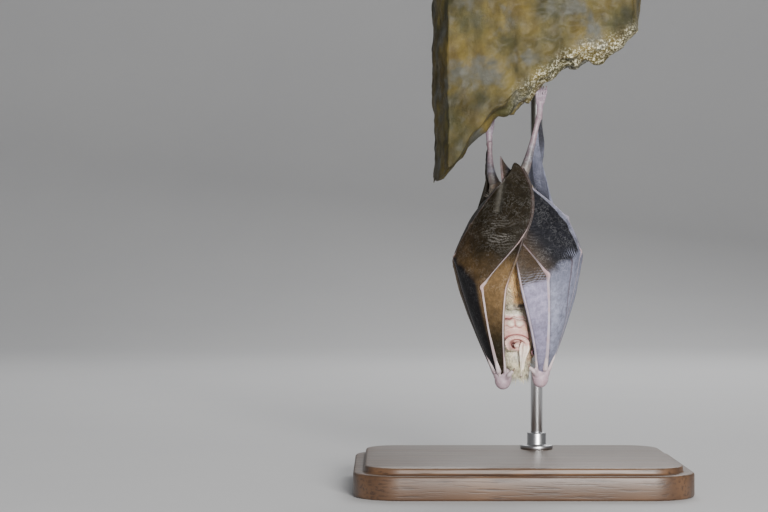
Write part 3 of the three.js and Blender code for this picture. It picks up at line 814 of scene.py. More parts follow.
def ridge_share(w, p):
    """1 along the left wing's standing fold, 0 away from it."""
    start, end = (q[[0, 2]] for q in RIDGE)
    t = np.clip(((p[..., [0, 2]] - start) @ (end - start)) / ((end - start) @ (end - start)), 0, 1)
    distance = np.linalg.norm(p[..., [0, 2]] - start - (end - start) * t[..., None], axis=-1)
    return np.exp(-((distance / 0.55) ** 2)) * (w["side"] < 0) * (p[..., 1] < 2)


def creases(w, first):
    knuckle = w["knuckles"][2]
    fold = w["joints"][1]

    def relief(u, v, surface):
        u = u + first
        warp = crease_warp(surface)
        reach = np.linalg.norm(surface - knuckle, axis=-1)
        arcs = np.sin(2 * np.pi * (reach / FOLD + warp)) * (0.6 + 0.8 * grain(surface, 1.7, 31))
        near_knuckle = np.exp(-((reach / 6.5) ** 2)) * smoothstep(0.9, 2.2, reach)
        level = np.sin(2 * np.pi * (surface[..., 2] / FOLD + warp + 0.35 * u))
        level = level * (0.6 + 0.8 * grain(surface, 1.9, 33))
        slack = np.exp(-(((np.linalg.norm((surface - fold) * (0.6, 0.6, 1), axis=-1) - 2.5) / 3.2) ** 2))
        above = smoothstep(KNUCKLE - 0.03, KNUCKLE + 0.04, v)
        clear = np.clip(np.abs(u - np.round(u)) / 0.12, 0, 1)
        slow = 0.16 * grain(surface, 5.5, 2) + 0.07 * grain(surface, 2.3, 6)
        waves = 0.05 * arcs * near_knuckle + 0.045 * level * slack * above
        ridge = 0.45 * ridge_share(w, surface) * above
        return (waves + slow * smoothstep(0.1, 0.3, v)) * clear + ridge
    return relief


print("creases ready")

# %% [markdown]
# The skin's colour is not even. The bat's right wing is painted as lit: a cool lavender grey below its
# knuckles, with painted highlights on the crests of its folds, and nearly black above them. The left
# wing is painted as in shade: a darker olive brown, with a painted glow where light shines through
# from the pale coat behind it, and one panel painted in deep shade. Bones are a pale pink that fades
# into the skin, with a thin line of painted shade where the skin folds down beside them. All of it is
# painted on the mesh from the wing's own two directions.

# %% Colours of a wing
# The lavender greys are this skin painted as lit, the olive browns the same skin painted as in shade, and the
# glow is light painted as shining through it.
LAVENDER, PALE = np.array([0.235, 0.245, 0.335]), np.array([0.385, 0.398, 0.52])
CHARCOAL, UMBER = np.array([0.013, 0.013, 0.016]), np.array([0.085, 0.052, 0.025])
OLIVE, GLOW = np.array([0.021, 0.0165, 0.0085]), np.array([0.325, 0.200, 0.088])
# Painted deep shade.
PAINTED_SHADE = np.array([0.014, 0.013, 0.015])
BONE_PINK, BONE_DEEP = np.array([0.72, 0.62, 0.62]), np.array([0.42, 0.33, 0.35])
# Painted shade for the creases beside bones and folds.
CREASE_SHADE = np.array([0.075, 0.040, 0.036])


def tinted(low, high, share):
    return low + (high - low) * np.asarray(share)[..., None]


def right_wing(w, u, v, p, drift):
    """The right wing's colours below and above its knuckles, in that order."""
    panel = tinted(LAVENDER * 0.92, PALE, drift * 0.75 + 0.25 * (1 - smoothstep(0, 1, np.abs(u - 0.5))))
    panel = tinted(panel, panel * (1.05, 0.93, 1.0), 1 - smoothstep(0.95, 1.05, u))
    panel = tinted(panel, LAVENDER * 0.62, 0.7 * smoothstep(0.36, 0.47, v) * smoothstep(0.9, 1.1, u))
    panel = tinted(panel, LAVENDER * 0.55, 0.5 * smoothstep(0.12, 0.0, v))
    # A fold down the panel: a line of painted shade in its crease and a painted highlight along its crest
    # beside it.
    fold = 2 - 0.42 * smoothstep(0.04, 0.36, v) + 0.01 * grain(p, 3, 41)
    panel = tinted(panel, CREASE_SHADE * 1.3, 0.75 * np.exp(-(((u - fold) / 0.022) ** 2)))
    panel = tinted(panel, PALE * 1.1, 0.5 * np.exp(-(((u - fold - 0.05) / 0.022) ** 2)))
    # Painted shade in the lines of fine wrinkles.
    wrinkle_shade = np.abs(grain(p * (1, 1, 0.6), 1.6, 42)) < 0.035
    panel = tinted(panel, LAVENDER * 0.6, 0.35 * wrinkle_shade * smoothstep(0.9, 1.1, u))
    upper = tinted(CHARCOAL, LAVENDER * 0.13, 0.5 * drift + 0.5 * smoothstep(2, 3.2, u))
    # Painted highlights on the crests of the arcs of crepe round the knuckle.
    reach = np.linalg.norm(p - w["knuckles"][2], axis=-1)
    arcs = smoothstep(0.1, 0.95, np.sin(2 * np.pi * (reach / FOLD + crease_warp(p))))
    arcs = arcs * smoothstep(-0.2, 0.5, grain(p, 1.7, 31))
    fan = np.exp(-(((reach - 2.6) / 2.2) ** 2)) * smoothstep(1.2, -0.6, p[..., 2] - w["knuckles"][2][2])
    upper = tinted(upper, PALE * 1.25, 0.9 * arcs * fan)
    upper = tinted(upper, UMBER * 0.75, (1 - smoothstep(0.9, 1.35, u)) * 0.85)
    # A line of painted shadow where the panel dips beside the pale band.
    ragged = u + 0.035 + 0.03 * grain(p, 1.6, 14)
    clear = smoothstep(KNUCKLE - 0.01, KNUCKLE + 0.04, v)
    upper = tinted(upper, PAINTED_SHADE, 0.85 * np.exp(-(((ragged - 1.885) / 0.022) ** 2)) * clear)
    band = smoothstep(1.90, 1.92, ragged) * clear
    upper = tinted(upper, PALE * 0.72, band * (0.75 + 0.25 * grain(p, 1.1, 15)))
    # Painted highlights on the crests of the pleats across the knuckle line.
    pleat_highlight = smoothstep(0.0, 0.9, np.sin(2 * np.pi * (p[..., 2] / FOLD + 0.4 * crease_warp(p) - 0.3 * u)))
    pleat_highlight = pleat_highlight * np.exp(-(((v - KNUCKLE + 0.005) / 0.028) ** 2)) * (1 - smoothstep(0.85, 1.0, u))
    upper, panel = tinted(upper, PALE, 0.6 * pleat_highlight), tinted(panel, PALE * 1.1, 0.5 * pleat_highlight)
    flank = smoothstep(3.3, 3.8, u) * smoothstep(JOINT, 0.86, v)
    upper = tinted(upper, LAVENDER * 0.95, np.maximum(flank, smoothstep(2.9, 3.1, u) * 0.5))
    return panel, upper


def left_wing(w, u, v, p, drift, torn):
    """The left wing's colours below and above its knuckles, in that order."""
    # The panel below the knuckles is painted with the glow of light shining through from the coat behind,
    # brighter towards the knuckles.
    panel = tinted(OLIVE * 1.7, GLOW, smoothstep(0.14, 0.42, v) * (0.7 + 0.3 * drift))
    lit = tinted(panel, GLOW * 0.9, smoothstep(0.3, 0.45, v))
    # Painted deep shade over the panel behind the third digit, fading out beyond the fourth.
    shaded_panel = smoothstep(1.02, 1.22, u) * (1 - smoothstep(2.0, 2.4, u))
    panel = tinted(panel, PAINTED_SHADE, shaded_panel)
    panel = tinted(panel, UMBER, smoothstep(2.2, 3, u) * 0.7)
    browned = smoothstep(1.45, 2.0, u) * (1 - smoothstep(0.5, 0.75, v)) + 0.15 * drift
    upper = tinted(OLIVE, UMBER * 0.8, browned)
    # More painted glow of light through the skin, just above the knuckles, fading out towards the fourth
    # digit.
    painted_glow = (1 - smoothstep(KNUCKLE, 0.60, v + 0.03 * grain(p, 2.2, 18))) * (1 - smoothstep(1.75, 2.1, u))
    upper = tinted(upper, GLOW * 0.36, painted_glow * (0.75 + 0.25 * drift))
    between = (1 - smoothstep(0.9, 1.0, u)) * (1 - smoothstep(0.50, 0.63, torn))
    upper = tinted(upper, lit, between)
    upper = tinted(upper, np.array([0.12, 0.11, 0.09]), 0.75 * ridge_share(w, p))
    # Painted highlights on the crests of the level crepe folds, in a belt across the upper panel.
    level = smoothstep(0.1, 0.9, np.sin(2 * np.pi * (p[..., 2] / FOLD + crease_warp(p) + 0.35 * u)))
    level = level * smoothstep(-0.4, 0.4, grain(p, 1.9, 33))
    belt = np.exp(-(((p[..., 2] - 50.8) / 2.4) ** 2)) * np.exp(-(((p[..., 0] + 4.2) / 2.8) ** 2))
    upper = tinted(upper, np.array([0.36, 0.34, 0.31]), 0.75 * level * belt)
    return panel, upper


def wing_colour(w, u, v, p):
    """Colour at u, v, with u counted from the second digit: 0, 1, 2, 3 for the digits, 4 the arm."""
    torn = v + 0.018 * grain(p, 1.5, 17)
    reached = torn + 0.028 * (1 - smoothstep(0.9, 1.0, u)) * (w["side"] > 0)
    low = 1 - smoothstep(KNUCKLE - 0.01, KNUCKLE + 0.03, reached)
    drift = 0.5 + 0.5 * grain(p, 4.5, 1)
    if w["side"] > 0:
        panel, upper = right_wing(w, u, v, p, drift)
    else:
        panel, upper = left_wing(w, u, v, p, drift, torn)
    return tinted(upper, panel, low)


def shown(w, digit, v):
    """How far a digit's bone stands out in colour: strong to its knuckle, faint towards its tip."""
    if w["side"] > 0:
        return 0.85 - 0.55 * smoothstep(KNUCKLE + 0.02, KNUCKLE + 0.08, v)
    beyond = JOINT if digit == 1 else KNUCKLE
    return 1 - 0.85 * smoothstep(beyond + 0.01, beyond + 0.06, v)


def bone_masks(w, first, radii, u, v):
    """How much each vertex lies on a bone, and how much in the line of painted shade beside one."""
    bone, shade_line = np.zeros(u.shape), np.zeros(u.shape)
    soft = 1.1 if w["side"] > 0 else 0.75
    for k, radius in enumerate(radii):
        if radius is None:
            continue
        width = strip_width(w, first, k, len(radii) - 1, u, v)
        distance = np.where(u < 0, -u * EDGE_REACH * (k == 0), np.abs(u - k) * width)
        size = radius(v)
        here = (1 - smoothstep(0.4 * size, soft * size, distance)) * shown(w, first + k, v)
        bone = np.maximum(bone, here)
        # A line of painted shade where the skin folds down beside a bone.
        beside = np.exp(-(((distance - 1.4 * size) / 0.13) ** 2)) * (u > k)
        shade_line = np.maximum(shade_line, beside * (0.9 if first + k == 2 else 0.55))
    return bone, shade_line


print("wing colours ready")

# %% [markdown]
# The same colours then go through one finish. Very fine crepe runs across the panels, close together
# one way and drawn out the other, so it reads the wing's own unwrap, with painted shade in its
# valleys. Minute veins get a painted highlight along their crinkles, and minute dots add painted
# glints and vary the gloss.

# %% Membrane finish
def wing_finish(name, gloss):
    skin = Finish(name)
    own = skin.node("UVMap", {"uv_map": "UVMap"})

    def drawn_out(across, along, size):
        stretched = skin.node("Mapping", sockets={"Vector": own, "Scale": (across, along, 1.0)})
        sockets = {"Vector": stretched, "Scale": size, "Detail": 5.0, "Roughness": 0.62}
        return skin.node("TexNoise", sockets=sockets)
    crepe = drawn_out(0.8, 1.5, 95.0)
    striae = drawn_out(1.5, 0.5, 70.0)
    veined = skin.lumps(0.8, 4, roughness=0.55)
    crinkle = 1.0 - ((veined - 0.5).size() * 26.0).clamped(0.0, 1.0)
    clouds = skin.lumps(1.1, 5, roughness=0.68).clamped(0.38, 0.62)
    dots = skin.node("TexVoronoi", {"feature": "F1"}, {"Vector": skin.place(), "Scale": 3100.0})
    tint, bone, slack = skin.read("tint"), skin.read("bone"), skin.read("crepe")
    folds = crepe * slack + striae * (1 - slack)
    spread = folds.clamped(0.36, 0.64)
    # Painted shade in the crepe's valleys.
    colour = skin.mix(tint, skin.mix(tint, tone(0.0, 0.0, 0.0), 0.5), (1 - spread) * (0.34 + 0.36 * slack))
    colour = skin.mix(colour, skin.mix(tint, tone(0.0, 0.0, 0.0), 0.55), (1 - clouds) * 0.75)
    patchy = skin.lumps(2.4, 3).clamped(0.42, 0.6)
    # Painted highlight along the fine crinkles.
    crinkle_highlight = crinkle * patchy * (0.25 + 0.75 * slack)
    colour = skin.mix(colour, skin.mix(tint, tone(1.0, 1.0, 1.0), 0.06), crinkle_highlight)
    # Painted glints on minute dots.
    glints = dots.clamped(0.35, 0.05) * skin.lumps(1.1, 3).clamped(0.48, 0.62)
    colour = skin.mix(colour, tone(0.62, 0.62, 0.68), glints * 0.07)
    colour = skin.mix(colour, tint, bone)
    blood = bone * skin.lumps(1.4, 4).clamped(0.5, 0.7)
    colour = skin.mix(colour, skin.mix(tint, tone(0.45, 0.18, 0.16), 0.35), blood)
    height = folds * (0.35 + 0.6 * slack) + crinkle * (0.12 + 0.25 * slack) + dots * 0.10
    rough = gloss + 0.14 * (1 - spread) - 0.08 * bone
    relief = skin.bump(height * (1 - bone * 0.8), 0.13, 0.6)
    return skin.done(colour, rough, relief, Coat_Weight=0.02, Coat_Roughness=0.3, Specular_IOR_Level=0.12)


MEMBRANE = wing_finish("wing_membrane", 0.42)


def paint_wing(piece, w, first, radii, u, v, side):
    p = places(piece) / MM
    bone, shade_line = bone_masks(w, first, radii, u, v)
    colour = wing_colour(w, u + first, v, p)
    pale = tinted(PALE, BONE_PINK, 0.45) if w["side"] > 0 else BONE_PINK
    bone_colour = tinted(BONE_DEEP, pale, 0.35 + 0.65 * smoothstep(-0.4, 0.5, grain(p, 3, 5)))
    ends = np.maximum(np.exp(-(((v - KNUCKLE) / 0.03) ** 2)), np.exp(-(((v - JOINT) / 0.03) ** 2)))
    bone_colour = tinted(bone_colour, np.array([0.60, 0.38, 0.34]), 0.4 * ends)
    # The painted shade line beside the bones.
    colour = tinted(colour, CREASE_SHADE, shade_line * 0.7)
    colour = tinted(colour, bone_colour, bone * 0.92)
    # The slab's inner side, which faces the body, is painted darker as shade.
    colour = tinted(colour, colour * 0.55, (side < 0) * 0.6)
    paint(piece, "tint", colour)
    paint(piece, "bone", bone)
    slack = smoothstep(KNUCKLE - 0.06, KNUCKLE + 0.04, v) * (1 - 0.5 * smoothstep(0.8, 0.95, v))
    paint(piece, "crepe", 0.12 + (0.88 if w["side"] > 0 else 0.5) * slack)


def unwrap_by(piece, u, v):
    """An unwrap of the wing in its own two directions, one unit for 50 mm."""
    layer = piece.data.uv_layers["UVMap"].data
    corners = np.empty(len(piece.data.loops), int)
    piece.data.loops.foreach_get("vertex_index", corners)
    at = np.column_stack([u, v])[corners]
    layer.foreach_set("uv", at.ravel())


def paint_boneless(piece, tint):
    """The same three layers for a skin that holds no bones."""
    paint(piece, "tint", tint)
    paint(piece, "bone", np.zeros(len(tint)))
    paint(piece, "crepe", np.full(len(tint), 0.7))


print("membrane finish ready")

# %% [markdown]
# Each wing is two slabs. The large one begins at the third digit and goes back over the fourth and
# the fifth to the flank. The small one lies in front of it, between the second digit and the third.
# Both follow the third digit's line, so they meet in its bone and no gap shows.

# %% Wings
WING = dict(lead_columns=60, lead_rows=170, columns=205, rows=232, lead_end=JOINT - 0.01)
for w in (LEFT, RIGHT):
    last = 0.985
    radii = [bone_radius, lambda v: bone_radius(v, 0.54), bone_radius, None]
    us = crowded(-0.02, 3, WING["columns"], [17, 8, 11])
    vs = np.linspace(0.0, last, WING["rows"])
    middle = wing_surface(w, 1, (0.13, 0.08, 0.08), (w["crest"], 0.03, 0.03), last)
    wing, u, v, side = from_grid(
        "wing_" + w["name"], us, vs, middle, wing_half(w, 1, radii, last, 0.012), creases(w, 1)
    )
    paint_wing(wing, w, 1, radii, u, v, side)
    unwrap_by(wing, u * 0.25, v)
    names = ("digit_3", "digit_4", "digit_5", "membrane_3_4", "membrane_4_5", "membrane_flank")
    dress(wing, "membrane", MEMBRANE, *(f"{name}_{w['name']}" for name in names), angle=75)

    radii = [lambda v: np.full(np.shape(v), BONE["second"]), None]
    us = crowded(-0.012, 0.995, WING["lead_columns"], [6])
    vs = np.linspace(0.0, WING["lead_end"], WING["lead_rows"])
    middle = wing_surface(w, 0, (0.03,), (0.0,), 1.0)
    lead, u, v, side = from_grid(
        "wing_edge_" + w["name"], us, vs, middle, wing_half(w, 0, radii, 1.2, 0.01), creases(w, 0)
    )
    paint_wing(lead, w, 0, radii, u, v, side)
    unwrap_by(lead, u * 0.12, v)
    dress(lead, "membrane", MEMBRANE, f"digit_2_{w['name']}", f"membrane_2_3_{w['name']}", angle=75)

# %% [markdown]
# Wrist, thumb and forearm are one limb. Each is drawn out of a sphere, the pieces are joined, and a
# fine voxel remesh fuses them into one skin, as clay is blended with a finger. A little smoothing
# then takes off the steps. The thumb's claw is horn and stays a piece of its own.

# %% Fusing rounded forms into one skin
def fused(name, voxel, rounds, pieces):
    deselect()
    for piece in pieces:
        piece.select_set(True)
    bpy.context.view_layer.objects.active = pieces[0]
    bpy.ops.object.join()
    whole = bpy.context.object
    whole.name = whole.data.name = name
    modify(whole, "REMESH", mode="VOXEL", voxel_size=voxel * MM, adaptivity=0.0)
    modify(whole, "SMOOTH", factor=0.5, iterations=rounds)
    face_out(whole)
    return whole


def ball(name, middle, radii, around=24):
    def place(v, turn):
        ring = np.sin(v * np.pi)
        shape = np.stack([ring * np.cos(turn), ring * np.sin(turn), -np.cos(v * np.pi)], -1)
        return middle + shape * radii
    return from_sphere(name, around, around // 2 + 2, place)


def rounded_ends(radius, share):
    """Closes a rod's radius to nothing over a share of its line at both ends."""
    def closing(v):
        near = np.minimum(v, 1 - v) / share
        return radius(v) * np.sqrt(np.clip(1 - (1 - np.clip(near, 0, 1)) ** 2, 1e-4, 1))
    return closing


def rod_of(name, line, radius, around, along, share, flat=1.0):
    return from_sphere(name, around, along, along_line(line, rounded_ends(radius, share), flat))


def hook(name, root, reach, drop, size):
    """A claw: it leaves the root along reach and curls towards drop."""
    def line(v):
        t = np.asarray(v, float)[..., None]
        return root + reach * np.sin(t * 1.4) / np.sin(1.4) + drop * t * t

    def radius(v):
        return size * np.sqrt(np.clip(v * 12, 0, 1)) * (1 - v) ** 0.75
    return from_sphere(name, 10, 14, along_line(line, radius, 0.7))


def first_part(line, share):
    """The first share of a line, as a line of its own."""
    return lambda v: line(v * share)


print("fusing helpers ready")

# %% [markdown]
# Bare skin on the arms and legs is thin, scaly and a little damp, pink where blood shows and grey
# elsewhere. One function makes it, with the veins' colour and the gloss as its inputs, because the
# body and the face need the same skin in other tones. Claws are horn, streaked along their growth.

# %% Limb finishes
LIMB = {"pink": np.array([0.34, 0.245, 0.285]), "grey": np.array([0.12, 0.113, 0.13])}
SMOKE = np.array([0.36, 0.31, 0.255])  # the brown grey of the coat's back and of the thighs


def skin_finish(name, vein, gloss):
    bare = Finish(name)
    tint = bare.read("tint")
    scales = bare.node(
        "TexVoronoi", {"feature": "DISTANCE_TO_EDGE"}, {"Vector": bare.place(), "Scale": 2300.0},
    )
    folds = bare.lumps(0.5, 5, roughness=0.65)
    colour = bare.mix(tint, bare.mix(tint, vein, 0.32), bare.lumps(1.3, 5).clamped(0.46, 0.68))
    # Painted highlight on the crests of the fine folds.
    colour = bare.mix(colour, bare.mix(tint, tone(0.9, 0.86, 0.84), 0.16), folds.clamped(0.5, 0.7))
    height = folds * 0.6 + scales.clamped(0.0, 0.3) * 0.4
    relief = bare.bump(height, 0.05, 0.6)
    return bare.done(colour, gloss + 0.15 * folds, relief, Coat_Weight=0.08, Coat_Roughness=0.3)


LIMB_SKIN = skin_finish("limb_skin", tone(0.22, 0.11, 0.13), 0.40)
horn = Finish("claw_horn")
growth = horn.lumps(0.25, 3, stretch=(1.0, 1.0, 0.3))
horn_colour = horn.mix(tone(0.10, 0.06, 0.045), tone(0.30, 0.22, 0.17), growth)
HORN = horn.done(horn_colour, 0.26 + 0.1 * growth, horn.bump(growth, 0.03, 0.4))
print("limb finishes ready")

# %% Wrists, thumbs and forearms
def thumb_radius(v):
    """From the wrist at 0 to the claw at 1, a little swollen at the joint."""
    return 0.50 - 0.16 * v + 0.09 * np.exp(-(((v - 0.55) / 0.12) ** 2))


def forearm_radius(v):
    """From the wrist at 0 to the elbow at 1, with the muscle towards the elbow."""
    muscle = 0.5 * np.sin(np.pi * np.clip(v, 0, 1)) ** 2 * v
    return 0.78 + muscle - 0.12 * smoothstep(0.85, 1.0, v)


def stub_radius(size):
    """A digit's first part, thickest where it leaves the wrist."""
    return lambda v: size * (1 + 0.75 * (1 - v) ** 1.6)


for w in (LEFT, RIGHT):
    side, wrist = w["side"], w["wrist"]
    root = wrist + (-side * 0.5, -1.0, 0.3)
    thumb = through(root, (root + w["thumb"]) / 2 + (side * 0.12, -0.25, 0), w["thumb"])
    pieces = [
        ball("wrist", wrist + (side * 0.1, 0, 0), point(1.66, 1.55, 1.86)),
        ball("pad", wrist + (-side * 0.45, -0.8, 0.9), point(1.25, 0.85, 1.6)),
        ball("heel", wrist + (side * 0.7, 0.1, 1.3), point(1.35, 1.25, 1.6)),
        rod_of("thumb", thumb, thumb_radius, 14, 20, 0.1),
        rod_of("forearm", w["forearm"], forearm_radius, 16, 60, 0.03),
    ]
    for k, line in enumerate(w["digits"]):
        size = 0.22 if k == 0 else 0.34
        pieces.append(rod_of("stub", first_part(line, 0.11), stub_radius(size), 10, 16, 0.1))
    arm = fused("arm_" + w["name"], 0.15, 4, pieces)
    p = places(arm) / MM
    away = np.linalg.norm(p - wrist, axis=1)
    nearness = np.exp(-((away / 3.2) ** 2))
    # Pink near the wrist where blood shows, and brightened there as painted light, the right wrist more than
    # the left.
    shade = tinted(LIMB["grey"], LIMB["pink"] * (1.45 if side > 0 else 1.25), 0.35 + 0.65 * nearness)
    flushed = 0.25 * smoothstep(0.2, 0.7, grain(p, 1.6, 3)) * nearness
    shade = tinted(shade, np.array([0.46, 0.26, 0.25]), flushed)
    shade = tinted(shade, np.array([0.30, 0.24, 0.17]), smoothstep(40, 52, p[:, 2]) * 0.6)
    bony = smoothstep(1.4, 4.6, away) * smoothstep(wrist[2] + 9, wrist[2] + 6, p[:, 2])
    shade = tinted(shade, BONE_PINK * 0.85, bony)
    paint(arm, "tint", shade)
    dress(arm, "bone", LIMB_SKIN, f"wrist_{w['name']}", f"forearm_{w['name']}", angle=180)
    tip = w["thumb"]
    ahead = unit(tip - root)
    claw = hook("thumb_claw_" + w["name"], tip - ahead * 0.25, ahead, point(side * 0.1, 0.55, 0.1), 0.24)
    dress(claw, "bone", HORN, angle=180)

# %% [markdown]
# The bare legs are thin pink rods with a swollen ankle. Five toes of nearly equal length hook into
# the rock, each with two small joints and a slightly flattened claw. Shank, foot and toes are fused
# like the arm. The knee end goes into the coat of the thigh.

# %% Legs, feet and claws
def leg_radius(v):
    """From the thigh's end at 0 over the knee to the ankle at 1."""
    return 1.22 - 0.72 * smoothstep(0.12, 0.95, v) + 0.10 * np.exp(-(((v - 0.97) / 0.05) ** 2))


def toe_radius(v):
    joints = sum(np.exp(-(((v - at) / 0.06) ** 2)) for at in (0.4, 0.74))
    return 0.215 - 0.045 * v + 0.035 * joints


for w in (LEFT, RIGHT):
    side, ankle, toes = w["side"], w["ankle"], w["toes"]
    palm = ankle + (toes - ankle) * 0.5
    sole = straight(ankle, palm + (toes - ankle) * 0.1)
    pieces = [
        rod_of("leg", w["leg"], leg_radius, 16, 50, 0.03),
        ball("ankle", ankle + (0, 0, 0.3), point(0.68, 0.72, 0.85), 16),
        rod_of("sole", sole, lambda v: 0.58 + 0.14 * v, 14, 16, 0.15, 0.7),
    ]
    claws = []
    for toe in range(5):
        share = toe / 4 - 0.5
        start = palm + (share * 1.2, 0, -0.3)
        bend = toes + (share * 2.1, -0.35, -0.9)
        grip = toes + (share * 2.2, 0.25, 0.2)
        line = through(start, (start + bend) / 2 + (0, -0.14, 0), bend, grip)
        pieces.append(rod_of("toe", line, toe_radius, 10, 26, 0.08))
        root, reach, drop = grip - (0, 0.1, 0.15), point(0, 0.35, 0.55), point(0, 0.25, -0.2)
        claws.append(hook(f"claw_{w['name']}_{toe + 1}", root, reach, drop, 0.15))
    leg = fused("leg_and_foot_" + w["name"], 0.09, 2, pieces)
    p = places(leg) / MM
    climb = smoothstep(w["knee"][2] - 2, ankle[2], p[:, 2])
    # The left leg is painted much darker than the right, as shade.
    pink = LIMB["pink"] * (0.72 if side > 0 else 0.4)
    shade = tinted(LIMB["grey"] * 0.7, pink, smoothstep(0.25, 0.85, climb))
    shade = tinted(shade, np.array([0.24, 0.19, 0.25]), smoothstep(ankle[2], palm[2], p[:, 2]) * 0.6)
    shade = tinted(shade, PALE * 0.6, smoothstep(0.0, 0.6, grain(p, 0.7, 2)) * 0.5 * (1 - climb))
    shade = tinted(shade, SMOKE * 0.4, smoothstep(0.25, 0.0, climb) * 0.8)
    paint(leg, "tint", shade)
    dress(leg, "bone", LIMB_SKIN, f"leg_{w['name']}", f"foot_{w['name']}", angle=180)
    for claw in claws:
        dress(claw, "bone", HORN, angle=180)

# %% [markdown]
# The tail is folded over the back, and the tail membrane hangs between it and the legs. A narrow
# strip of loose, pebbled skin also runs down each shank, on the side towards the bat's left.

# %% Tail and its membranes
TAIL = through(point(-0.6, 5.4, 63), point(-0.6, 8.8, 62.6), point(-0.6, 11, 56), point(-0.6, 11.3, 43))
tail = rod_of("tail_bones", TAIL, lambda v: 0.62 - 0.34 * v + 0.05 * np.cos(v * 2 * np.pi * 7), 14, 90, 0.03)
paint(tail, "tint", tinted(LIMB["grey"], LIMB["pink"] * 0.7, 0.4 + 0.3 * grain(places(tail) / MM, 2)))
dress(tail, "bone", LIMB_SKIN, "tail", angle=180)


def web(start_line, end_line, bulge):
    """A skin between two lines that bulges outwards, with u across and v along."""
    def middle(u, v):
        start, end = start_line(v), end_line(v)
        p = start + (end - start) * u[..., None]
        lift = bulge * np.linalg.norm(end - start, axis=-1) * 4 * u * (1 - u)
        return p + outward(p) * lift[..., None]
    return middle


def thin(u, v):
    """Half the thickness of such a skin, rounded off at all its edges."""
    edge = np.minimum(np.minimum(u, 1 - u), np.minimum((v - v.min()), (v.max() - v)))
    return SKIN * np.sqrt(np.clip(edge / 0.03, 0.05, 1))


def tail_folds(u, v, p):
    """Slow waves with fine, nearly level folds on them."""
    level = np.sin(2 * np.pi * (p[..., 2] / 0.9 + 0.6 * grain(p, 2, 9)))
    return 0.22 * grain(p, 2.6, 4) + 0.05 * level


def shank_edge(leg):
    """The free edge of a shank's loose skin, which is widest at the knee."""
    def line(v):
        reach = 0.25 + 1.5 * (1 - np.asarray(v)) ** 1.3
        return leg(v) + point(-1, 0.25, 0) * reach[..., None]
    return line


for w in (LEFT, RIGHT):
    sheet, u, *_ = from_grid(
        "tail_membrane_" + w["name"], np.linspace(0, 1, 46), np.linspace(0.4, 0.97, 90),
        web(w["leg"], TAIL, 0.17), thin, tail_folds,
    )
    p = places(sheet) / MM
    # The right membrane in the wing's lavender painted as lit, the left in its olive and umber painted as in
    # shade.
    low, high = (LAVENDER * 0.4, PALE * 0.62) if w["side"] > 0 else (OLIVE * 1.6, UMBER * 1.3)
    shade = tinted(low, high, 0.6 + 0.35 * grain(p, 3, 6))
    # Painted shadow along the leg, where the membrane folds back from the shank.
    paint_boneless(sheet, tinted(PAINTED_SHADE * 1.5, shade, 0.15 + 0.85 * smoothstep(0.1, 0.26, u)))
    dress(sheet, "membrane", MEMBRANE, "membrane_tail_" + w["name"], angle=75)

    strip, *_ = from_grid(
        "shank_skin_" + w["name"], np.linspace(0, 1, 16), np.linspace(0.36, 0.96, 70),
        web(w["leg"], shank_edge(w["leg"]), 0.1), thin, lambda u, v, p: 0.09 * grain(p, 0.7, 3) * u,
    )
    p = places(strip) / MM
    paint_boneless(strip, tinted(CHARCOAL * 1.4, LAVENDER * 0.8, smoothstep(-0.2, 0.5, grain(p, 0.8, 8))))
    dress(strip, "membrane", MEMBRANE, angle=75)

# %% [markdown]
# Under the coat lies one skin: head, neck, trunk, upper arms and thighs in one piece. It is made from
# the body's sections less the depth of the coat, fused with the limbs' roots, so nothing shows a
# joint when the hairs part. It carries the same markings as the coat.

# %% The body's skin
def coat_depth(z):
    """How deep the coat is at a height, in millimetres."""
    return np.interp(z, [23, 30, 36.5, 42, 55, 63], [0.8, 0.75, 0.85, 1.4, 1.4, 1.1])


def body_form(v, turn):
    """Head, neck and trunk in one, from the sections less the depth of the coat."""
    low, high = BODY[0, 0] + 0.9, BODY[-1, 0] - 0.8
    t = (1 - np.cos(v * np.pi)) / 2
    z = low + (high - low) * t
    front, back, half = (np.interp(z, BODY[:, 0], BODY[:, k]) for k in (1, 2, 3))
    depth = coat_depth(z)
    closing = np.sqrt(np.clip(1 - np.abs(2 * t - 1) ** 24, 0, 1))
    x_middle = HEAD_X + (AXIS[0] - HEAD_X) * smoothstep(37, 41, z)
    wide = np.maximum(half - depth, 0.5) * closing
    deep = np.maximum((back - front) / 2 - depth, 0.5) * closing
    return np.stack([x_middle + wide * np.cos(turn), (front + back) / 2 + deep * np.sin(turn), z], -1)


pieces = [from_sphere("core", 56, 110, body_form)]
pieces.append(ball("muzzle", point(-0.6, -4.9, 32.8), point(2.5, 2.1, 2.9)))
pieces.append(ball("brow", point(-0.3, -3.6, 26.6), point(2.5, 1.6, 2.2)))
for w in (LEFT, RIGHT):
    upper = straight(w["elbow"] + (0, 0, 0.4), w["shoulder"])
    pieces.append(rod_of("upper_arm", upper, lambda v: 1.1 + 0.15 * v, 14, 24, 0.08))
    thigh = first_part(w["leg"], 0.5)
    pieces.append(rod_of("thigh", thigh, lambda v: 1.75 - 1.15 * smoothstep(0.25, 1.0, v), 14, 24, 0.15))
    pieces.append(ball("blade", point(w["side"] * 4.6, 5.2, 45.5), point(2.1, 3.1, 8.0)))
    pieces.append(ball("cheek", point(HEAD_X + w["side"] * 1.9, -3.9, 30.6), point(1.5, 1.5, 2.6)))
skin = fused("body_skin", 0.27, 8, pieces)
print("skin spans", (places(skin) / MM).min(0).round(1), (places(skin) / MM).max(0).round(1))

# %% [markdown]
# The coat is cream on the face, ochre on the breast and a smoky brown behind, with a tawny cheek and
# painted shade in the fold at the throat. One function gives the colour at any place, so the skin and
# the tufts that later stand on it always agree.

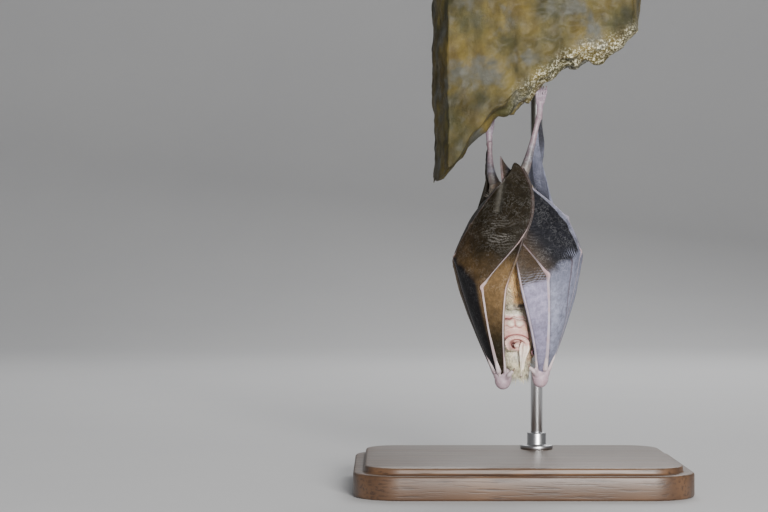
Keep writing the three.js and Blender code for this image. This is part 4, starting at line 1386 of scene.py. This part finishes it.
# %% Markings, shared by skin and coat
CREAM, WHITE = np.array([0.95, 0.81, 0.55]), np.array([0.96, 0.92, 0.82])
OCHRE, TAWNY = np.array([0.97, 0.60, 0.23]), np.array([0.66, 0.44, 0.24])
DORSAL = np.array([0.235, 0.180, 0.135])
FLUSH = np.array([0.74, 0.52, 0.49])


def throat_crease(z):
    """Where the fold between the chin and the throat lies, which is painted dark as shade."""
    return np.exp(-(((z - 36.4) / 0.5) ** 2))


def markings(p):
    """Colour of the coat at a place: cream and ochre in front, smoky brown behind."""
    x, y, z = p[..., 0], p[..., 1], p[..., 2]
    patch = 0.5 + 0.5 * grain(p, 2.2, 3)
    belly = tinted(OCHRE, CREAM, 0.25 * patch)
    parting = -0.9 - 0.33 * (z - 37) + 0.5 * grain(p, 1.2, 13)
    belly = tinted(belly, CREAM * 0.97, smoothstep(0.5, -0.5, x - parting) * smoothstep(44, 41, z) * 0.9)
    face = tinted(CREAM, WHITE, 0.35 + 0.65 * patch)
    face = tinted(face, TAWNY, smoothstep(0.2, 1.6, x) * smoothstep(24.5, 26.0, z) * 0.85)
    # Painted shade: the bat's left side of the face is a little darker and greyer.
    face = tinted(face, np.array([0.80, 0.74, 0.54]), smoothstep(-0.8, -2.2, x) * 0.5)
    front = tinted(face, belly, smoothstep(35.6, 37.2, z))
    crown = smoothstep(26.2, 24.2, z)
    front = tinted(front, np.array([0.88, 0.80, 0.56]), crown * 0.75)
    # Painted shade in the fold at the throat.
    throat_shade = throat_crease(z) * smoothstep(-0.9, -0.1, grain(p, 0.5, 12))
    front = tinted(front, DORSAL * 0.3, throat_shade * 0.95)
    back = tinted(DORSAL, SMOKE, patch)
    border = np.where(z < 37, 2.2, -0.5) + 0.5 * grain(p, 2.5, 7)
    return tinted(front, back, smoothstep(border, border + 3.4, y))


p = places(skin) / MM
bare = np.exp(-(((p[:, 2] - 31.5) / 3.6) ** 2)) * smoothstep(-3.2, -4.8, p[:, 1])
paint(skin, "tint", tinted(markings(p) * 0.8, FLUSH * 0.9, bare))
BODY_SKIN = skin_finish("body_skin_finish", tone(0.40, 0.20, 0.14), 0.6)
skin.data.uv_layers.new(name="OFBake")
corners = np.empty(len(skin.data.loops), int)
skin.data.loops.foreach_get("vertex_index", corners)


def skin_unwrap(p):
    """The skin rolled flat: once round the body across, and crown to rump upwards."""
    middle_y = np.interp(p[..., 2], BODY[:, 0], (BODY[:, 1] + BODY[:, 2]) / 2)
    turn = np.arctan2(p[..., 0] + 0.45, -(p[..., 1] - middle_y))
    return np.stack([0.5 + 0.485 * turn / np.pi, 0.02 + 0.96 * (p[..., 2] - 22.5) / 44.5], -1)


skin.data.uv_layers["OFBake"].data.foreach_set("uv", skin_unwrap(p)[corners].ravel())
dress(skin, "fur", BODY_SKIN, "head", "neck", "trunk", "upper_arm_left", "upper_arm_right", angle=180)

# %% [markdown]
# The face of a horseshoe bat is a nose leaf. A U-shaped plate, the horseshoe, rings the two nostrils,
# a small saddle stands between them and a pointed lancet rises to the forehead, which hangs lowest
# here. Beyond the plate's closed end, which is its upper end here, come the two lobes of the lips
# and the fold of the mouth. All of it but the saddle and the lancet is one relief: a fine grid set
# over the muzzle and raised by a sum of soft bumps, ridges and pits, whose border sinks into the skin.

# %% The face's relief
def midline(z):
    """The face is turned a little: its middle drifts across with height."""
    return -1.05 + 0.125 * (33 - z)


def bell(distance, width):
    """1 at no distance, falling off softly over the width."""
    return np.exp(-((distance / width) ** 2))


RING = dict(z=28.95, reach=2.6, above=1.75, below=2.3)


def ring_place(s, z):
    """How far out in the horseshoe's plate a place lies, 1 at its edge, and its angle."""
    rise = z - RING["z"]
    across, up = s / RING["reach"], rise / np.where(rise > 0, RING["above"], RING["below"])
    return np.hypot(across, up), np.arctan2(across, up)


def nostril_distance(s, z):
    """Distance from the nearer nostril's middle, drawn in so that a nostril is taller than wide."""
    return np.hypot(np.abs(s) - 0.80, (z - 28.75) / 1.35)


def mouth_line(s):
    """Height of the fold of the mouth."""
    return 34.05 + 0.10 * np.cos(3.4 * s) - 0.085 * s * s


def face_height(s, z):
    """Height of the face over its base at s from the midline, in millimetres."""
    a = np.abs(s)
    rho, angle = ring_place(s, z)
    shut = smoothstep(-2.0, -0.6, z - RING["z"])
    plate = smoothstep(0.45, 0.60, rho) * (1 - smoothstep(0.93, 1.03, rho)) * shut
    height = 0.62 * plate
    height = height + 0.16 * bell(rho - 0.93, 0.055) * shut + 0.10 * bell(rho - 0.60, 0.05) * shut
    height = height + 0.03 * np.sin(angle * 22) * plate
    height = height - 0.30 * bell(rho - 1.07, 0.04) * shut
    notch = bell(s, 0.16) * bell(rho - 0.98, 0.09) * (z > RING["z"])
    height = height - 0.22 * notch
    inside = 1 - smoothstep(0.40, 0.50, rho)
    height = height - 0.15 * inside
    height = height - 0.95 * bell(nostril_distance(s, z), 0.36)
    height = height + 0.2 * bell(np.hypot((a - 1.3) / 0.8, (z - 28.5) / 1.7), 0.36)
    height = height - 0.55 * bell(z - mouth_line(s), 0.17) * smoothstep(2.7, 2.0, a)
    lobes = bell(np.hypot((a - 0.82) / 1.25, z - 32.95), 0.62)
    cleft = 0.28 * bell(s, 0.12) * smoothstep(32.1, 32.4, z) * smoothstep(34, 33.6, z)
    height = height + 0.52 * lobes - cleft
    height = height - 0.12 * bell(z - (32.15 - 0.1 * s * s), 0.12)
    chin = bell(np.hypot(s / 1.9, z - 35.0), 0.75)
    height = height + 0.42 * chin - 0.20 * bell(s, 0.10) * chin
    height = height - 0.35 * bell(z - 36.3, 0.22)
    return height


FACE = dict(low=26.9, high=36.1, half=2.95)  # the relief's lower and upper edge and half its width


def face_middle(u, v):
    z = FACE["low"] + (FACE["high"] - FACE["low"]) * v
    s = (2 * u - 1) * FACE["half"]
    x = midline(z) + s * np.sqrt(np.clip(1 - 0.25 * (2 * v - 1) ** 4, 0, 1))
    base = -6.15 - 1.35 * bell(z - 32.4, 2.5) - 0.25 * bell(z - 29, 1.6) + 0.10 * s * s
    border = np.maximum(np.abs(2 * u - 1), np.abs(2 * v - 1))
    sunk = smoothstep(0.80, 1.0, border) * 1.9
    fine = 0.03 * grain(np.stack([x, z, z], -1), 0.4, 2) + 0.04 * grain(np.stack([x, z, z], -1), 1.0, 5)
    y = base - face_height(s, z) * (1 - smoothstep(0.82, 0.98, border)) + sunk + fine
    return np.stack([x, y, z], -1)


face, _, _, side = from_grid(
    "noseleaf_and_lips", np.linspace(0, 1, 120), np.linspace(0, 1, 200),
    face_middle, lambda u, v: np.full(u.shape, 0.02),
)
at = places(face) / MM
at[side < 0, 1] = np.maximum(at[side < 0, 1] + 0.5, -5.3)  # the slab's back is set into the head
set_places(face, at)
face_out(face)

# %% [markdown]
# The bare skin is rose, with a mauve rim to the plate, wine red in its hollow, dark maroon nostrils
# and pale cream lobes beyond it. The same distances that raised the relief now place its colours, so
# each colour stays on its own form.

# %% Colours of the face
ROSE, BLUSH = np.array([0.60, 0.31, 0.27]), np.array([0.74, 0.52, 0.45])
MAROON, WINE = np.array([0.16, 0.035, 0.035]), np.array([0.42, 0.13, 0.12])
MAUVE = np.array([0.50, 0.33, 0.40])


def face_colour(s, z):
    a = np.abs(s)
    rho = ring_place(s, z)[0]
    place = np.stack([s, z, z], -1)
    colour = tinted(ROSE, BLUSH, 0.5 + 0.5 * grain(place, 1.3, 4))
    colour = tinted(colour, MAUVE, 0.55 * bell(rho - 1.06, 0.07) * (z > RING["z"] - 1))
    colour = tinted(colour, BLUSH * 1.05, 0.7 * bell(rho - 0.86, 0.11) * (z > RING["z"]))
    colour = tinted(colour, WINE, 0.8 * bell(rho - 0.55, 0.07) * smoothstep(-0.9, 0.4, z - RING["z"]))
    colour = tinted(colour, WINE * 0.8, 0.8 * bell(rho - 1.06, 0.07) * smoothstep(0.2, 0.9, z - RING["z"]))
    nostril = bell(nostril_distance(s, z), 0.5)
    colour = tinted(colour, MAROON, np.clip(nostril * 1.5, 0, 1))
    lobes = bell(np.hypot((a - 0.85) / 1.15, z - 33.05), 0.62)
    colour = tinted(colour, np.array([0.93, 0.83, 0.67]), 0.95 * lobes)
    under = bell(z - (32.42 - 0.22 * np.cos(3.6 * (a - 0.85))), 0.16) * smoothstep(2.3, 1.7, a)
    colour = tinted(colour, WINE, 0.75 * under)
    colour = tinted(colour, np.array([0.80, 0.50, 0.26]), 0.5 * bell(np.hypot(s - 2.0, z - 32.0), 0.55))
    colour = tinted(colour, MAROON, 0.9 * bell(z - mouth_line(s), 0.2) * smoothstep(2.9, 2.2, a))
    colour = tinted(colour, WINE, 0.6 * bell(s, 0.14) * smoothstep(32.1, 32.5, z) * smoothstep(34, 33.6, z))
    chin = smoothstep(34.3, 34.9, z)
    colour = tinted(colour, WHITE, 0.85 * chin)
    colour = tinted(colour, TAWNY, 0.6 * chin * smoothstep(0.6, 2.2, s))
    # Painted shade in the fold at the throat.
    fold_shade = 0.8 * bell(z - 36.35, 0.22) * smoothstep(-0.3, 0.4, grain(place, 0.5, 2))
    colour = tinted(colour, np.array([0.12, 0.09, 0.06]), fold_shade)
    brow = smoothstep(28.2, 27.3, z) * smoothstep(0.5, 1.0, a)
    colour = tinted(colour, CREAM, brow * 0.7)
    ground = markings(np.stack([s + midline(z), np.full_like(z, -6.0), z + 0.4], -1)) * 0.7
    return tinted(colour, ground, smoothstep(34.5, 35.1, z))


at = places(face) / MM
s = at[:, 0] - midline(at[:, 2])
paint(face, "tint", face_colour(s, at[:, 2]))
FACE_SKIN = skin_finish("nose_skin", tone(0.55, 0.22, 0.21), 0.40)
dress(face, "face", FACE_SKIN, "noseleaf", angle=180)

# %% [markdown]
# The saddle, or sella, is a small bead with a waist that leans out between the nostrils. The lancet
# is a leaf as thin as card: a grid drawn to a spear's outline, with a keel down its middle and two
# pairs of shallow cells beside it.

# %% Saddle and lancet
SADDLE = through(
    point(-0.35, -6.3, 29.2), point(-0.5, -7.3, 29.1), point(-0.72, -7.95, 28.75), point(-0.85, -8.35, 28.35),
)
saddle = rod_of("sella", SADDLE, lambda v: 0.52 - 0.16 * bell(v - 0.5, 0.16) + 0.05 * v, 24, 26, 0.3, 0.8)
at = places(saddle) / MM
paint(saddle, "tint", tinted(ROSE * 0.9, BLUSH * 1.05, smoothstep(-7.2, -8.2, at[:, 1])))
dress(saddle, "face", FACE_SKIN, angle=180)

LANCET = dict(base=29.5, point=22.2, width=1.02, keel=0.28, root=0.95, drift=-0.62)
# The lancet's outline from its base to its point: share of its length, share of its width.
SPEAR = np.array([
    [0, 0.5], [0.1, 0.86], [0.2, 1.0], [0.32, 0.86], [0.44, 0.62], [0.6, 0.42], [0.8, 0.26], [1.0, 0.03],
])


def lancet_middle(u, v):
    z = LANCET["base"] + (LANCET["point"] - LANCET["base"]) * v
    outline = np.interp(v, SPEAR[:, 0], SPEAR[:, 1])
    a = 2 * u - 1
    x = LANCET["root"] + LANCET["drift"] * v + a * LANCET["width"] * outline + 0.05 * np.sin(v * 9)
    keel = LANCET["keel"] * bell(a, 0.22) * (1 - 0.6 * v)
    cells = 0.16 * bell(np.abs(a) - 0.52, 0.2) * (bell(v - 0.16, 0.06) + bell(v - 0.33, 0.07))
    rim = 0.07 * bell(np.abs(a) - 0.93, 0.08)
    y = -6.35 - 0.55 * bell(v - 0.30, 0.26) + 1.05 * v * v - keel + cells - rim + 0.10 * a * a
    return np.stack([x, y, z], -1)


lancet, u, v, _ = from_grid(
    "lancet", np.linspace(0, 1, 44), np.linspace(0, 1, 110), lancet_middle,
    lambda u, v: 0.17 * np.sqrt(np.clip(np.minimum(np.minimum(u, 1 - u) / 0.12, (1 - v) / 0.06), 0.06, 1)),
)
a = np.abs(2 * u - 1)
patch = 0.5 + 0.5 * grain(places(lancet) / MM, 0.9, 3)
colour = tinted(np.array([0.80, 0.68, 0.54]), np.array([0.92, 0.86, 0.76]), patch)
colour = tinted(colour, ROSE, 0.55 * smoothstep(0.35, 0.0, v))
colour = tinted(colour, WINE, 0.45 * bell(a - 0.52, 0.16) * (bell(v - 0.16, 0.05) + bell(v - 0.33, 0.06)))
colour = tinted(colour, np.array([0.12, 0.07, 0.05]), 0.8 * smoothstep(0.93, 1.0, v))
paint(lancet, "tint", colour)
dress(lancet, "face", FACE_SKIN, angle=75)

# %% [markdown]
# Small black eyes lie beside the lancet, half hidden by the wing edges. Each is a glossy ball in a
# ring of lid, which is a torus sunk into the skin.

# %% Eyes
wetness = Finish("eye_wet")
eye_black = wetness.mix(tone(0.008, 0.006, 0.006), tone(0.03, 0.02, 0.016), wetness.lumps(0.4))
EYE_WET = wetness.done(eye_black, 0.06, Coat_Weight=0.6, Coat_Roughness=0.05)
for w in (LEFT, RIGHT):
    middle = point(HEAD_X + w["side"] * 3.15, -4.55, 27.2)
    eye = ball("eyeball_" + w["name"], middle, point(0.55, 0.55, 0.55), 24)
    dress(eye, "eye", EYE_WET, "eye_" + w["name"], angle=180)
    gaze = unit(point(w["side"] * 0.75, -0.75, -0.1))
    deselect()
    bpy.ops.mesh.primitive_torus_add(
        major_segments=36, minor_segments=12, major_radius=0.52 * MM, minor_radius=0.17 * MM,
        location=Vector((middle + gaze * 0.16) * MM),
        rotation=Vector(gaze).to_track_quat("Z", "Y").to_euler(),
    )
    lid = bpy.context.object
    lid.name = lid.data.name = "eyelid_" + w["name"]
    bpy.ops.object.transform_apply(location=True, rotation=True, scale=True)
    paint(lid, "tint", tinted(WINE, MAUVE, 0.5 + 0.5 * grain(places(lid) / MM, 0.4, 3)))
    dress(lid, "face", FACE_SKIN, angle=180)

# %% [markdown]
# The ears are large, pointed and thin. In sleep they lie folded back along the nape. Each is a grid
# drawn to its outline and cupped, with the rows of fine cross ridges that these bats have inside,
# and a thickened outer rim.

# %% Ears
EAR = dict(length=14.5, half=3.0, y=5, z=26.4, apart=3.2, lean=0.3, ridges=15)


def ear_ridges(u, v, p):
    """The cross ridges, which die out towards the ear's edges and ends."""
    ridges = 0.07 * np.sin(v * 2 * np.pi * EAR["ridges"]) * bell(u - 0.55, 0.28)
    return ridges * smoothstep(0.1, 0.3, v) * smoothstep(1, 0.8, v)


for w in (LEFT, RIGHT):
    side = w["side"]

    def ear_middle(u, v, side=side):
        a = 2 * u - 1
        outline = EAR["half"] * np.sin(np.pi * (0.2 + 0.785 * v) ** 0.8)
        across = a * outline
        rise = EAR["length"] * v
        x = HEAD_X + side * (EAR["apart"] + 0.9 + 0.05 * rise - 0.16 * across * across)
        y = EAR["y"] + rise * EAR["lean"] + across * 0.85
        z = EAR["z"] + rise * np.sqrt(1 - EAR["lean"] ** 2) - across * 0.5
        return np.stack([x, y, z], -1)

    ear, u, v, _ = from_grid(
        "ear_blade_" + w["name"], np.linspace(0, 1, 60), np.linspace(0, 1, 120), ear_middle,
        lambda u, v: 0.17 + 0.10 * bell(np.minimum(u, 1 - u), 0.035) * (1 - v), ear_ridges,
    )
    patch = 0.5 + 0.5 * grain(places(ear) / MM, 2.4, 3)
    colour = tinted(np.array([0.20, 0.14, 0.115]), np.array([0.36, 0.25, 0.215]), patch)
    colour = tinted(colour, np.array([0.12, 0.085, 0.075]), 0.6 * bell(np.minimum(u, 1 - u), 0.05))
    paint_boneless(ear, colour)
    dress(ear, "membrane", MEMBRANE, "ear_" + w["name"], angle=75)

# %% [markdown]
# Hair is made of solid tufts, so the coat still has its shape when the model leaves Blender. One tuft
# is modelled first: a three-cornered spike, extruded upwards in steps and closed at its tip. Its
# corners are then copied over the skin thousands of times, and each copy is bent along the lie of
# the coat there.

# %% One tuft
TUFT_STEPS = ((0.36, 0.92), (0.34, 0.62), (0.30, 0.02))  # rise and width of each extrusion
deselect()
bpy.ops.mesh.primitive_circle_add(vertices=3, radius=1, fill_type="NGON")
pattern = bpy.context.object
pattern.name = "tuft_pattern"


def grow_tuft():
    width = 1.0
    for rise, next_width in TUFT_STEPS:
        bpy.ops.mesh.extrude_region_move(TRANSFORM_OT_translate=dict(value=(0, 0, rise)))
        bpy.ops.transform.resize(value=(next_width / width, next_width / width, 1))
        width = next_width
    bpy.ops.mesh.merge(type="CENTER")


in_edit(pattern, grow_tuft)
face_out(pattern)
TUFT = places(pattern)
TUFT_FACES = [tuple(face.vertices) for face in pattern.data.polygons]
bpy.data.objects.remove(pattern)
print("one tuft:", len(TUFT), "vertices,", sum(len(f) - 2 for f in TUFT_FACES), "triangles")

# %% [markdown]
# Roots are strewn at random over the skin's triangles, as many on each as its area calls for. On the
# head the hair lies away from the nose leaf and stands off the crown in points. On the body it lies
# from the throat towards the rump. A tuft takes the markings' colour at the middle of its length, is
# painted darker towards its root as shade deep in the coat and a little lighter at its tip, and its
# finish streaks it with painted highlight. It shares the skin's unwrap, on a small patch at its own
# root.

# %% Scattering tufts
TUFT_PATCH = 0.003  # side of a tuft's patch on the unwrap
hair = Finish("coat_hair")
strands = hair.lumps(0.12, 2)
hair_tint = hair.read("tint")
# Painted highlight along the strands.
strand_highlight = hair.mix(hair_tint, tone(1, 0.97, 0.9), 0.22)
hair_colour = hair.mix(hair_tint, strand_highlight, strands.clamped(0.4, 0.7))
hair_relief = hair.bump(strands, 0.03, 0.4)
COAT = hair.done(hair_colour, 0.62 + 0.15 * strands, hair_relief, Sheen_Weight=0.06, Sheen_Roughness=0.45)


def rooted(ground, density, keep, seed):
    """Roots on a piece, with their normals: density(p) per square millimetre where keep(p, n)."""
    mesh = ground.data
    mesh.calc_loop_triangles()
    corners = np.empty(len(mesh.loop_triangles) * 3, int)
    mesh.loop_triangles.foreach_get("vertices", corners)
    corners = corners.reshape(-1, 3)
    if ground != skin:  # an extruded grid lists its faces in another order each time, so they are sorted
        corners = np.sort(corners, axis=1)
        corners = corners[np.lexsort(corners.T)]
    at = places(ground) / MM
    normals = np.empty(len(mesh.vertices) * 3)
    mesh.vertices.foreach_get("normal", normals)
    normals = normals.reshape(-1, 3)
    a, b, c = (at[corners[:, k]] for k in range(3))
    area = np.linalg.norm(np.cross(b - a, c - a), axis=1) / 2
    rng = np.random.default_rng(seed)
    middle = (a + b + c) / 3
    counts = rng.poisson(area * density(middle))
    chosen = np.repeat(np.arange(len(area)), counts)
    r, q = np.sqrt(rng.random(len(chosen))), rng.random(len(chosen))
    weights = np.stack([1 - r, r * (1 - q), r * q], 1)[:, :, None]
    roots = (at[corners[chosen]] * weights).sum(axis=1)
    facing = unit((normals[corners[chosen]] * weights).sum(axis=1))
    kept = keep(roots, facing)
    return roots[kept], facing[kept], rng


def lie(p):
    """Which way the hair lies at a place."""
    z = p[:, 2]
    leaf = point(-0.5, -6.5, 29.5)
    away = unit(p - leaf) + point(0, 0.25, 0)
    crown = np.tile(point(0.05, -0.35, -0.9), (len(p), 1)) + unit(p - point(-0.3, 0.5, 27))
    body = np.tile(point(0, 0.05, 1.0), (len(p), 1)) + point(0.10, 0, 0) * (p[:, :1] + 0.5)
    on_head = smoothstep(37.5, 35, z)[:, None]
    low = smoothstep(27, 25, z)[:, None]
    return body * (1 - on_head) + on_head * (away * (1 - low) + crown * low)


def coat(name, density, keep, length, width, lift, seed, ground=None):
    """Tufts over the skin as one piece. length, width and lift are functions of the roots."""
    roots, facing, rng = rooted(ground or skin, density, keep, seed)
    count = len(roots)
    way = lie(roots) + rng.normal(0, 0.11, (count, 3))
    clumps = np.stack([grain(roots, 1.5, s) for s in (21, 22, 23)], -1)
    low = smoothstep(26.8, 24.6, roots[:, 2:3])  # the crown, whose hair is long and in points
    way = unit(way + (0.30 + 0.7 * low) * clumps)
    standing = smoothstep(26, 23.5, roots[:, 2:3])  # the tufts at the crown's end stand off it
    way = unit(way - facing * (way * facing).sum(1, keepdims=True) * (1 - 0.9 * standing))
    across = unit(np.cross(facing, way))
    long = (length(roots) * rng.uniform(0.72, 1.25, count))[:, None]
    long = long * (1 + 0.8 * low * grain(roots, 1.0, 24)[:, None])
    wide = (width(roots) * rng.uniform(0.8, 1.25, count))[:, None]
    raised = (lift(roots) * rng.uniform(0.65, 1.3, count))[:, None]
    points = np.empty((count, len(TUFT), 3))
    for k, (a, b, t) in enumerate(TUFT):
        rise = raised * np.sin(t * 1.35) / np.sin(1.35)
        forward = long * t
        sway = wide * 0.8 * np.sin(t * 2.4) * clumps[:, :1]
        points[:, k] = (
            roots - facing * 0.12 + way * forward + facing * rise
            + across * (a * wide + sway) + facing * (b * wide * 0.6)
        )
    faces = [tuple(v + k * len(TUFT) for v in face) for k in range(count) for face in TUFT_FACES]
    mesh = bpy.data.meshes.new(name)
    mesh.from_pydata((points.reshape(-1, 3) * MM).tolist(), [], faces)
    piece = bpy.data.objects.new(name, mesh)
    bpy.context.scene.collection.objects.link(piece)
    base = markings(roots + 0.5 * long * way)
    base = base * rng.normal(1.0, 0.10, (count, 1)) * (1 + rng.normal(0, 0.03, (count, 3)))
    # Painted shade deep in the coat: darker at the root, a little lighter at the tip.
    shade = 0.72 + 0.34 * TUFT[:, 2]
    paint(piece, "tint", np.clip(base[:, None, :] * shade[None, :, None], 0, 0.97).reshape(-1, 3))
    layer = mesh.uv_layers.new(name="OFBake")
    corners = np.empty(len(mesh.loops), int)
    mesh.loops.foreach_get("vertex_index", corners)
    patch = np.stack([TUFT[:, 0] * 0.5, TUFT[:, 2] - 0.5], -1) * TUFT_PATCH
    unwrap = skin_unwrap(roots)[:, None, :] + patch[None, :, :]
    layer.data.foreach_set("uv", unwrap.reshape(-1, 2)[corners].ravel())
    dress(piece, "fur", COAT, angle=180)
    return piece


print("coat helpers ready")

# %% [markdown]
# The coat is seven pieces, so that none grows too heavy: face, crown, muzzle, nape, breast, back and
# rump. It is dense and short on the face, whose forms are small, and longer and sparser on the body.
# It shortens on the arms and round the knees. Very short tufts also stand on the furred borders of
# the face's relief.

# %% The coat
NAPE = 37.5  # height at which the head's coat meets the body's
SEAM = 1.0  # y at which the front pieces meet the back ones
WAIST = 50  # height at which the back's piece meets the rump's


def even(value):
    """The same value at every root."""
    return lambda p: np.full(len(p), float(value))


def face_free(p):
    """Roots outside the bare nose leaf and lips."""
    s = p[:, 0] - midline(p[:, 2])
    oval = np.hypot(s / 2.35, (p[:, 2] - 31.0) / 3.7)
    return (oval > 1) | (p[:, 1] > -3.4)


def on_muzzle(p):
    """The furred borders of the face's relief: the chin, and both sides of the plate's open end."""
    s, z = p[:, 0] - midline(p[:, 2]), p[:, 2]
    out = ring_place(s, z)[0]
    chin = (z > 34.5) & (z < 36.5) & (np.abs(s) < 2.9)
    return chin | (z < 28.9) & (out > 0.9) & (np.abs(s) < 2.9) | (z < 27.7)


def front_open(p):
    """1 along the middle of the front, where the wings leave the coat open, falling off sideways."""
    return np.exp(-(((p[:, 0] + 0.5) / 3.6) ** 2)) * (p[:, 1] < 0)


def on_arm(p):
    """The upper arms and thighs, where the coat is short."""
    arm = (p[:, 1] > 5.5) & (np.abs(p[:, 0] + 0.5) > 4.2) & (p[:, 2] > 46)
    return arm | (p[:, 2] > 58)


def knee_distance(p):
    return np.min([np.linalg.norm(p - w["knee"], axis=1) for w in (LEFT, RIGHT)], axis=0)


def clothed(p):
    """Below the rump's end and the bare shanks."""
    return p[:, 2] < 62.5


def body_length(p):
    at_knee = 0.4 + 0.6 * smoothstep(1, 6, knee_distance(p))
    return (2.7 - 1.3 * on_arm(p)) * (1 - 0.35 * smoothstep(57, 62, p[:, 2])) * at_knee


def body_lift(p):
    at_knee = 0.25 + 0.75 * smoothstep(1, 7, knee_distance(p))
    return coat_depth(p[:, 2]) * np.where(on_arm(p), 0.3, 0.62) * at_knee


def on_back(low, high):
    """Roots on the back between two heights."""
    return lambda p, n: (p[:, 2] >= low) & (p[:, 2] < high) & (p[:, 1] >= SEAM) & clothed(p)


coat(
    "coat_face", density=lambda p: 30 + 40 * front_open(p),
    keep=lambda p, n: (p[:, 2] < NAPE) & face_free(p) & (p[:, 1] < SEAM),
    length=lambda p: (1.1 + 1.2 * smoothstep(27, 24.0, p[:, 2])) * (1 - 0.6 * throat_crease(p[:, 2])),
    width=even(0.055), lift=lambda p: 0.36 + 0.6 * smoothstep(26.5, 24.3, p[:, 2]), seed=3,
)
coat(
    "coat_crown", density=even(7), keep=lambda p, n: (p[:, 2] < 25.6) & (p[:, 1] < SEAM),
    length=even(2.0), width=even(0.14), lift=even(0.45), seed=9,
)
coat(
    "coat_muzzle", density=lambda p: 45 + 40 * (p[:, 2] > 34),
    keep=lambda p, n: on_muzzle(p) & (n[:, 1] < -0.1),
    length=lambda p: 0.75 - 0.15 * (p[:, 2] > 34), width=even(0.05), lift=even(0.2), seed=8, ground=face,
)
coat(
    "coat_nape", density=even(38), keep=lambda p, n: (p[:, 2] < NAPE) & (p[:, 1] >= SEAM),
    length=even(1.7), width=even(0.07), lift=even(0.5), seed=6,
)
coat(
    "coat_breast", density=lambda p: 9 + 32 * front_open(p) * (p[:, 2] < WAIST),
    keep=lambda p, n: (p[:, 2] >= NAPE) & (p[:, 1] < SEAM) & clothed(p),
    length=body_length, width=lambda p: 0.10 - 0.03 * front_open(p), lift=body_lift, seed=4,
)
for name, low, high, seed in (("coat_back", NAPE, WAIST, 5), ("coat_rump", WAIST, 63, 7)):
    coat(
        name, density=even(26), keep=on_back(low, high),
        length=body_length, width=even(0.085), lift=body_lift, seed=seed,
    )
